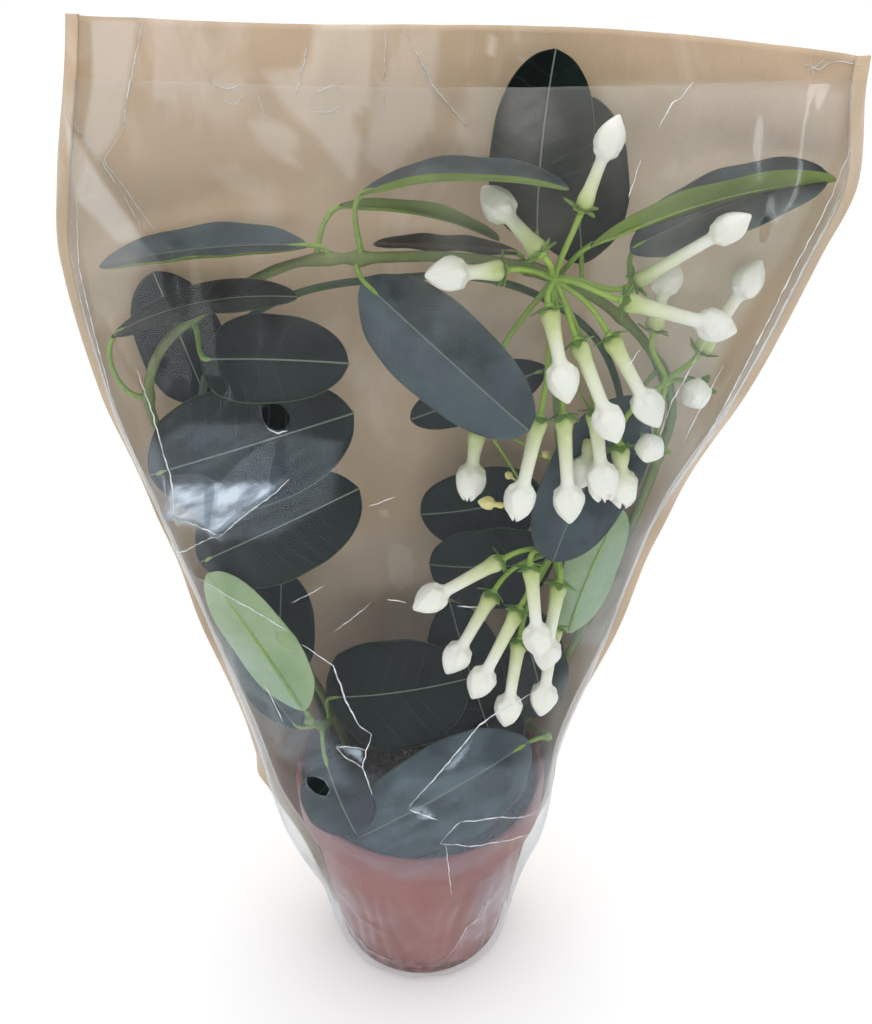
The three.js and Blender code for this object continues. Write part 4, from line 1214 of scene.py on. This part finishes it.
# Folds pressed into the sheets: how far each stands out, how wide it is, and then the places that
# it runs through, across and up in turn.
FILM_FOLDS = [
    (1.3, 4.0, -108, 365, -104, 346, -102, 329, -100, 315, -100, 298),
    (1.2, 3.5, -100, 298, -90, 302, -84, 302, -79, 299),
    (1.6, 4.0, -79, 299, -69, 311, -55, 325, -49, 331),
    (1.1, 4.0, -79, 299, -92, 286, -115, 259),
    (1.2, 3.5, -96, 262, -88, 262, -72, 259, -55, 253),
    (1.6, 4.0, -49, 247, -36, 238, -31, 218, -26, 206, -20, 202),
    (1.6, 3.5, -20, 202, -23, 192, -25, 182, -21, 166),
    (1.2, 2.5, -37, 191, -26, 193, -23, 192),
    (1.2, 2.5, -37, 191, -33, 186, -25, 182),
    (0.9, 3.0, -69, 212, -62, 193),
    (0.7, 3.0, -34, 257, -19, 273),
    (0.9, 2.0, -12, 276, -4, 274),
    (0.9, 2.0, 17, 271, 26, 270),
    (0.7, 3.0, -52, 268, -38, 280),
    (0.8, 2.5, -18, 320, -8, 325),
    (1.5, 4.0, 58, 216, 37, 210, 28, 204, 19, 192, 3, 170, -4, 161),
    (1.6, 3.0, -4, 159, 9, 151),
    (1.1, 3.5, 10, 136, 20, 147, 39, 141, 58, 124),
    (1.1, 3.5, 10, 136, 47, 119, 62, 107),
    (0.8, 3.0, 13, 134, 16, 95),
    (0.8, 2.5, 84, 381, 79, 374),
    (1.0, 2.5, 96, 472, 93, 468, 89, 465, 85, 458),
    (0.7, 2.5, 79, 448, 75, 437),
    (1.0, 1.6, -56, 351, -52, 349.3, -48, 351),
    (0.7, 3.0, 111, 381, 106, 370, 100, 357, 96, 337),
    (0.7, 3.0, 120, 366, 114, 350, 108, 332),
    (1.4, 4.5, 164, 445, 158, 438, 145, 404, 119, 324, 102, 285),
    (0.6, 5.0, -130, 453, -112, 436, -98, 415),
    (0.9, 3.0, 160, 432, 151, 404, 124, 324, 106, 285),
    (0.8, 3.0, -125, 432, -129, 400, -125, 345, -112, 288),
    (0.8, 2.0, 14, 24, 21, 41, 25, 54, 29, 56, 33, 73),
    (0.8, 2.0, 41, 40, 44, 66, 50, 102),
    (0.6, 1.5, 22, 50, 27, 48, 29, 36, 33, 39),
    (0.7, 2.0, -46, 84, -42, 46, -36, 32, -28, 23, -16, 20),
    (0.6, 2.0, -40, 80, -32, 61, -22, 53),
    (0.4, 3.0, -13, 163, 8, 177, 21, 188, 34, 205),
]
PAPER_FOLDS = [
    (1.8, 4.0, -99, 482, -106, 463, -112, 444),
    (1.4, 5.0, -128, 460, -120, 432, -110, 397),
    (1.2, 4.5, -112, 444, -120, 434, -105, 396),
    (1.3, 4.0, -40, 474, -44, 461, -49, 447),
    (1.4, 4.0, -4, 476, 2, 465, 7, 455, 22, 437),
    (1.0, 3.5, -11, 477, -13, 438),
    (0.9, 2.0, -78, 463, -77, 459, -73, 456, -67, 458),
    (0.8, 2.0, -75, 453, -71, 450, -66, 453),
    (0.8, 2.0, -61, 453, -60, 447, -59, 442),
    (0.8, 2.0, -43, 447, -39, 453, -32, 456, -28, 452),
    (0.7, 2.0, -41, 446, -34, 445, -28, 449),
    (0.9, 2.0, 143, 469, 149, 468, 154, 472, 161, 472),
    (0.8, 2.0, 145, 466, 150, 471),
    (0.7, 2.0, 146, 471, 148, 465),
]
# Patches of milky haze and painted highlights on the film, and of painted light on the paper:
# painted reflections, painted glints and a painted lift where it lies in shade. Each gives how
# much, how soft its edge is, and then its corners, across and up in turn.
FILM_HAZE_AND_HIGHLIGHT_PATCHES = [
    # The first four are painted highlights: three small glints by the folds, and the flat between
    # the folds at the left.
    (0.9, 0.8, -35, 191, -25, 192, -24, 184, -30, 188),
    (0.9, 0.8, -4, 160, 3, 159, 8, 152, 0, 153),
    (0.7, 0.8, 12, 181, 19, 190, 24, 196, 20, 186, 15, 180),
    (1.0, 1.6, -99, 315, -51, 331, -55, 324, -79, 300, -84, 304, -99, 298),
    (0.14, 1.6, -128, 456, -112, 436, -98, 415, -108, 392, -125, 374, -133, 405),
    (0.06, 2, -125, 466, -99, 470, -104, 452, -113, 442, -128, 456),
    (0.1, 3, 95, 472, 136, 470, 148, 453, 140, 439, 132, 407, 121, 380, 115, 359, 109, 300, 87, 344,
        86, 403, 79, 433, 92, 453),
    (0.25, 6, 98, 293, 86, 217, 69, 235, 66, 261, 82, 290),
    (0.12, 4, 32, 472, 45, 473, 51, 458, 41, 452, 32, 458),
    (0.16, 2, -116, 303, -112, 325, -90, 345, -60, 352, -28, 347, -32, 322, -60, 298, -92, 291),
    (0.16, 3, -28, 150, -8, 176, 30, 178, 62, 160, 60, 130, 30, 112, -5, 108, -30, 120),
    (0.26, 7, -93, 230, -75, 236, -43, 203, -27, 166, -39, 162, -70, 172),
    (0.12, 6, -56, 176, -18, 178, -14, 140, -22, 124, -53, 122),
    (0.14, 2, -50, 96, -46, 60, -37, 34, -26, 25, -23, 44, -33, 72, -38, 98),
    (0.28, 3, 20, 36, 26, 62, 30, 96, 45, 104, 44, 60, 34, 32),
]
PAPER_PAINTED_LIGHT_PATCHES = [
    # The first two are painted glints.
    (1.0, 0.6, 39, 475, 41, 475, 42, 463, 41, 463),
    (0.9, 0.8, 28, 473, 31, 473, 31, 466, 29, 466),
    (0.8, 1, -114, 485, -99, 484, -112, 444, -121, 434, -124, 443, -117, 465),
    (0.45, 1, -95, 483, -86, 482, -90, 451, -99, 455),
    (0.6, 1, -36, 480, -16, 479, -16, 449, -30, 438, -47, 450),
    (0.9, 1, -128, 456, -121, 426, -110, 397, -120, 399, -130, 421),
    (0.6, 2, -58, 462, -42, 463, -28, 451, -21, 431, -26, 415, -40, 436, -52, 449),
    (0.5, 1.5, -16, 452, -4, 476, 10, 476, 8, 440, -10, 418, -20, 424),
    (0.6, 2.5, 72, 456, 106, 458, 158, 462, 160, 437, 149, 400, 132, 359, 120, 313, 102, 291, 84,
        309, 74, 351, 76, 410),
    (0.5, 2.5, 22, 455, 34, 454, 30, 429, 22, 420, 16, 436),
    (0.3, 3, -26, 227, -10, 229, 3, 212, -6, 183, -22, 184),
    # Painted light that lifts the paper where it lies in shade between the lower leaves.
    (0.45, 14, -60, 236, 24, 236, 24, 150, -60, 140),
    (0.8, 1, -18, 210, -16, 221, -10, 224, -4, 219, -2, 207, -5, 193, -12, 189, -17, 196),
    (0.6, 0.8, -21, 243, -18, 246, -14, 243, -17, 240),
    (0.5, 1.5, -66, 443, -60, 445, -52, 441, -46, 435, -50, 429, -47, 423, -54, 426, -61, 432),
    (0.45, 1, -78, 462, -72, 464, -65, 462, -64, 456, -69, 453, -75, 456),
    (0.4, 1, -45, 453, -39, 455, -30, 453, -28, 447, -36, 445, -44, 448),
    (0.3, 2, -83, 425, -72, 427, -64, 419, -59, 408, -68, 411, -77, 417),
]
# A flat between three folds at the left, which mirrors the light.
FACET_FOOT = [(-100, 298), (-90, 302), (-84, 302), (-79, 299), (-69, 311), (-55, 325), (-49, 331)]
FACET_HEIGHT = 21
FACET_OUT = 6.5


def section(z):
    """The sleeve's section at given heights: left, right, front, back, left flap, right flap."""
    keys = np.array(SLEEVE_KEYS, float)
    return [smooth(keys[:, 0], column, z) for column in keys.T[1:]]


def patch_level(x, z, corners, soft):
    """1 inside a patch with these corners, 0 outside it, and smooth between."""
    ring = corners + corners[:1]
    inside = np.zeros(np.shape(x), bool)
    for (x0, z0), (x1, z1) in zip(ring, ring[1:]):
        if z0 != z1:
            inside ^= ((z0 > z) != (z1 > z)) & (x < x0 + (z - z0) * (x1 - x0) / (z1 - z0))
    away = distance_to_line(x, z, ring)
    return step(-soft, soft, np.where(inside, away, -away))


def pairs(numbers):
    return list(zip(numbers[::2], numbers[1::2]))


def scattered_folds(count, low, high, spread, seed):
    """Long straight folds at random places, leaning mostly upright."""
    dice = np.random.default_rng(seed)
    folds = []
    for _ in range(count):
        x, z = dice.uniform(-spread, spread), dice.uniform(low, high)
        reach, lean = dice.uniform(18, 60), dice.normal(0, 0.45)
        line = (x, z, x + reach * math.sin(lean), z + reach * math.cos(lean))
        folds.append((dice.uniform(0.2, 0.5), dice.uniform(4, 8), *line))
    return folds


def leaning_facet(x, z):
    """A flat between three folds at the left, whose lower edge stands out, so that it faces up."""
    above = z - np.interp(x, *np.transpose(FACET_FOOT))
    slope, foot = np.maximum(0, 1 - above / FACET_HEIGHT), np.exp(np.minimum(above, 0) / 3)
    flat = np.where(above > 0, slope, foot)
    left, right = FACET_FOOT[0][0], FACET_FOOT[-1][0]
    ends = step(left - 4, left, x) * step(right + 4, right - 4, x)
    return FACET_OUT * flat * ends


def sheet_grid(top_at, columns, rows):
    """A sheet's grid: how far across it, how far out in a flap, and its places across and up."""
    inside = np.linspace(0, 1, columns - 2 * FLAP_CELLS)
    u = np.concatenate([np.zeros(FLAP_CELLS), inside, np.ones(FLAP_CELLS)])
    flap_left = np.linspace(-1, 0, FLAP_CELLS, endpoint=False)
    flap_right = np.linspace(0, 1, FLAP_CELLS + 1)[1:]
    flap = np.concatenate([flap_left, 0 * inside, flap_right])
    v = np.linspace(0, 1, rows)[:, None]
    z = SLEEVE_BOTTOM + (top_at(u)[None, :] - SLEEVE_BOTTOM) * v
    left, right, _, _, left_flap, right_flap = section(z)
    across = -np.cos(np.pi * u)[None, :]
    x = (left + right + (right - left) * across) / 2
    x = x + np.where(flap < 0, flap * left_flap, flap * right_flap)
    return across, flap, x, z


def cut_vents(x, z, vents):
    """Rounds the vent holes' rims: the grid's new places, and which of its cells stay."""
    keep = np.ones((x.shape[0] - 1, x.shape[1] - 1), bool)
    for vent_x, vent_z, pinch in vents:
        away = np.hypot((x - vent_x) / pinch, z - vent_z)
        near = away < VENT_RADIUS + 0.5
        hole = near[:-1, :-1] & near[1:, :-1] & near[:-1, 1:] & near[1:, 1:]
        cells = np.pad(hole, 1)
        corners = [cells[:-1, :-1], cells[1:, :-1], cells[:-1, 1:], cells[1:, 1:]]
        rim = np.any(corners, axis=0) & ~np.all(corners, axis=0)
        x = np.where(rim, vent_x + (x - vent_x) * VENT_RADIUS / np.maximum(away, 0.1), x)
        z = np.where(rim, vent_z + (z - vent_z) * VENT_RADIUS / np.maximum(away, 0.1), z)
        keep &= ~hole
    return x, z, keep


def sheet_relief(facing, across, x, z, folds, vents):
    """How far a sheet's crumples, folds, pleats and vent rims stand out."""
    stretched = np.stack([x, z], axis=-1) * (1.0, 0.45)
    out = 0.55 * (ripple(stretched, 26, 11 + facing) + 1)
    out += 0.3 * np.abs(ripple(stretched, 13, 21 + facing))
    for height, width, *line in folds:
        out += height * np.exp(-distance_to_line(x, z, pairs(line)) / width)
    gather = step(GATHER_TOP, GATHER_FULL, z) * step(2, 30, z)
    pleats = np.sin(across * GATHER_PLEATS + 1.6 * ripple(stretched, 40, 31))
    out += gather * GATHER_DEPTH * np.abs(pleats)
    for vent_x, vent_z, pinch in vents:
        lip = np.maximum(0, np.hypot((x - vent_x) / pinch, z - vent_z) - VENT_RADIUS)
        out += LIP_HEIGHT * np.exp(-lip / LIP_WIDTH)
    return out


def make_sheet(facing, top_at, folds, patches, columns, rows, name, finish, slot, node, vents=()):
    """One sheet of the sleeve: facing is -1 for the film in front and 1 for the paper behind."""
    across, flap, x, z = sheet_grid(top_at, columns, rows)
    _, _, front, back, _, _ = section(z)
    roundness = np.clip((z - ROUND_BELOW) / (LENS_ABOVE - ROUND_BELOW), 0, 1)
    fullness = np.maximum(0, 1 - across**2) ** (0.5 + 0.15 * roundness)
    depth = (front if facing < 0 else back) * fullness
    x, z, keep = cut_vents(x, z, vents)
    calm = np.clip(fullness * 2.2, 0, 1)
    limit = FOLD_LIMIT * calm
    out = sheet_relief(facing, across, x, z, folds, vents)
    out = limit * np.tanh(out * calm / np.maximum(limit, 1e-6))
    if facing < 0:
        out += leaning_facet(x, z)
    surface = np.stack([x, facing * (SHEET_GAP / 2 + depth), z], axis=-1)
    normal = np.cross(np.gradient(surface, axis=1), np.gradient(surface, axis=0))
    normal[..., 2] = 0
    normal[:, np.abs(across[0]) == 1] = (0, 1, 0)
    normal = unit(normal)
    normal *= np.sign(normal[..., 1:2] * facing)
    swing = FLAP_SWING * np.sin(z / 17 + 2 * np.sin(z / 41)) * np.abs(flap)[None, :] ** 1.5
    inner = surface + normal * (SHEET_OUT - SHEET_THICKNESS + out)[..., None]
    inner[..., 1] += swing
    outer = inner + normal * SHEET_THICKNESS
    levels = [level * patch_level(x, z, pairs(corners), soft) for level, soft, *corners in patches]
    shape = Shape()
    plate(shape, inner, outer, keep, np.max(levels, axis=0))
    front_face, ahead = (outer, FILM_BAR_AHEAD) if facing < 0 else (inner, PAPER_BAR_AHEAD)
    for height, _, *line in folds:
        if height > WHITE_BAR_FROM:
            fold_line(shape, front_face, pairs(line), 0.12 + 0.15 * height, ahead)
    shape.piece(name, [finish, fold_whitening_and_glint_finish()], slot, node)


def fold_line(shape, sheet, line, width, ahead):
    """Adds the white ridge along a fold, its whitening and a painted glint: a fine bar that lies on
    the sheet's front face.
    """
    line = np.array(line, float)
    path = spaced(line, max(4, int(reach_along(line)[-1] / BAR_STEP)))
    path += 0.25 * np.stack([ripple(path, 7, 71), ripple(path, 7, 72)], axis=-1)
    flat = sheet.reshape(-1, 3)
    ridge = []
    for x, z in path:
        away = np.hypot(flat[:, 0] - x, flat[:, 2] - z)
        near = np.argpartition(away, 4)[:4]
        weight = 1 / (away[near] + 0.05)
        ridge.append((x, (flat[near, 1] * weight).sum() / weight.sum() - ahead, z))
    t = np.linspace(0, 1, len(path))
    taper = np.sqrt(np.sin(np.pi * np.clip(t, 0.03, 0.97)))
    radii = width * taper * (0.8 + 0.35 * ripple(path, 6, 73))
    tube(shape, ridge, np.maximum(radii, 0.05), sides=6, finish=1)


def film_top(u):
    return FILM_TOP + FILM_CROWN * np.sin(np.pi * u) + 0.5 * np.sin(9 * u)


def paper_top(u):
    sag = np.sin(np.pi * u) * (1.1 * np.sin(11 * u + 1) - 4.5)
    return PAPER_TOP_LEFT + (PAPER_TOP_RIGHT - PAPER_TOP_LEFT) * u + sag


make_sheet(
    facing=-1,
    top_at=film_top,
    folds=FILM_FOLDS + scattered_folds(count=14, low=120, high=440, spread=110, seed=5),
    patches=FILM_HAZE_AND_HIGHLIGHT_PATCHES,
    columns=190,
    rows=238,
    name="look_sleeve_film",
    finish=film_finish(),
    slot="clear_film",
    node="sleeve_film",
    vents=VENTS,
)
make_sheet(
    facing=1,
    top_at=paper_top,
    folds=PAPER_FOLDS + scattered_folds(count=46, low=120, high=460, spread=120, seed=6),
    patches=PAPER_PAINTED_LIGHT_PATCHES,
    columns=150,
    rows=190,
    name="look_sleeve_paper",
    finish=paper_finish(),
    slot="kraft_paper",
    node="sleeve_paper",
)

# ---- floor and light ----------------------------------------------------------------------------

FLOOR_REACH = 4.0  # in metres
FLOOR_GAP = 0.2  # below the pot


def make_floor():
    mesh = bpy.data.meshes.new("floor")
    corners = np.array([(-1, -1, 0), (1, -1, 0), (1, 1, 0), (-1, 1, 0)]) * FLOOR_REACH
    mesh.from_pydata(corners.tolist(), [], [(0, 1, 2, 3)])
    mesh.materials.append(floor_finish())
    floor = add_object("floor", mesh)
    floor.location.z = -FLOOR_GAP * MM


def make_light(name, place, aim, width, height, power, matt=True, gloss=True):
    """A softbox; matt and gloss say whether it lights things and whether they mirror it."""
    data = bpy.data.lights.new(name, "AREA")
    data.shape, data.size, data.size_y = "RECTANGLE", width, height
    data.energy = power
    light = add_object(name, data)
    light.location = place
    light.rotation_euler = (Vector(aim) - Vector(place)).to_track_quat("-Z", "Y").to_euler()
    light.visible_camera = False
    light.visible_diffuse = matt
    light.visible_glossy = gloss


make_floor()
# Places and sizes in metres, and power in watts.
make_light("ceiling", (0, 0.9, 3.0), (0, 0.9, 0), 7.6, 7.6, 276)
make_light("front", (0.0, -2.4, 0.9), (0, 0, 0.3), 1.8, 0.6, 12, gloss=False)
make_light("low_left", (-0.74, -0.26, 0.24), (-0.075, -0.046, 0.315), 0.6, 0.34, 1.3, matt=False)
make_light("low_right", (1.05, -0.45, 0.4), (0.05, 0, 0.3), 0.16, 0.6, 2.5, matt=False)

world = bpy.data.worlds.new("studio")
world.use_nodes = True
world.node_tree.nodes["Background"].inputs["Color"].default_value = (0.94, 0.96, 1.0, 1)
world.node_tree.nodes["Background"].inputs["Strength"].default_value = 0.22
bpy.context.scene.world = world
bpy.context.scene.view_settings.view_transform = "Standard"
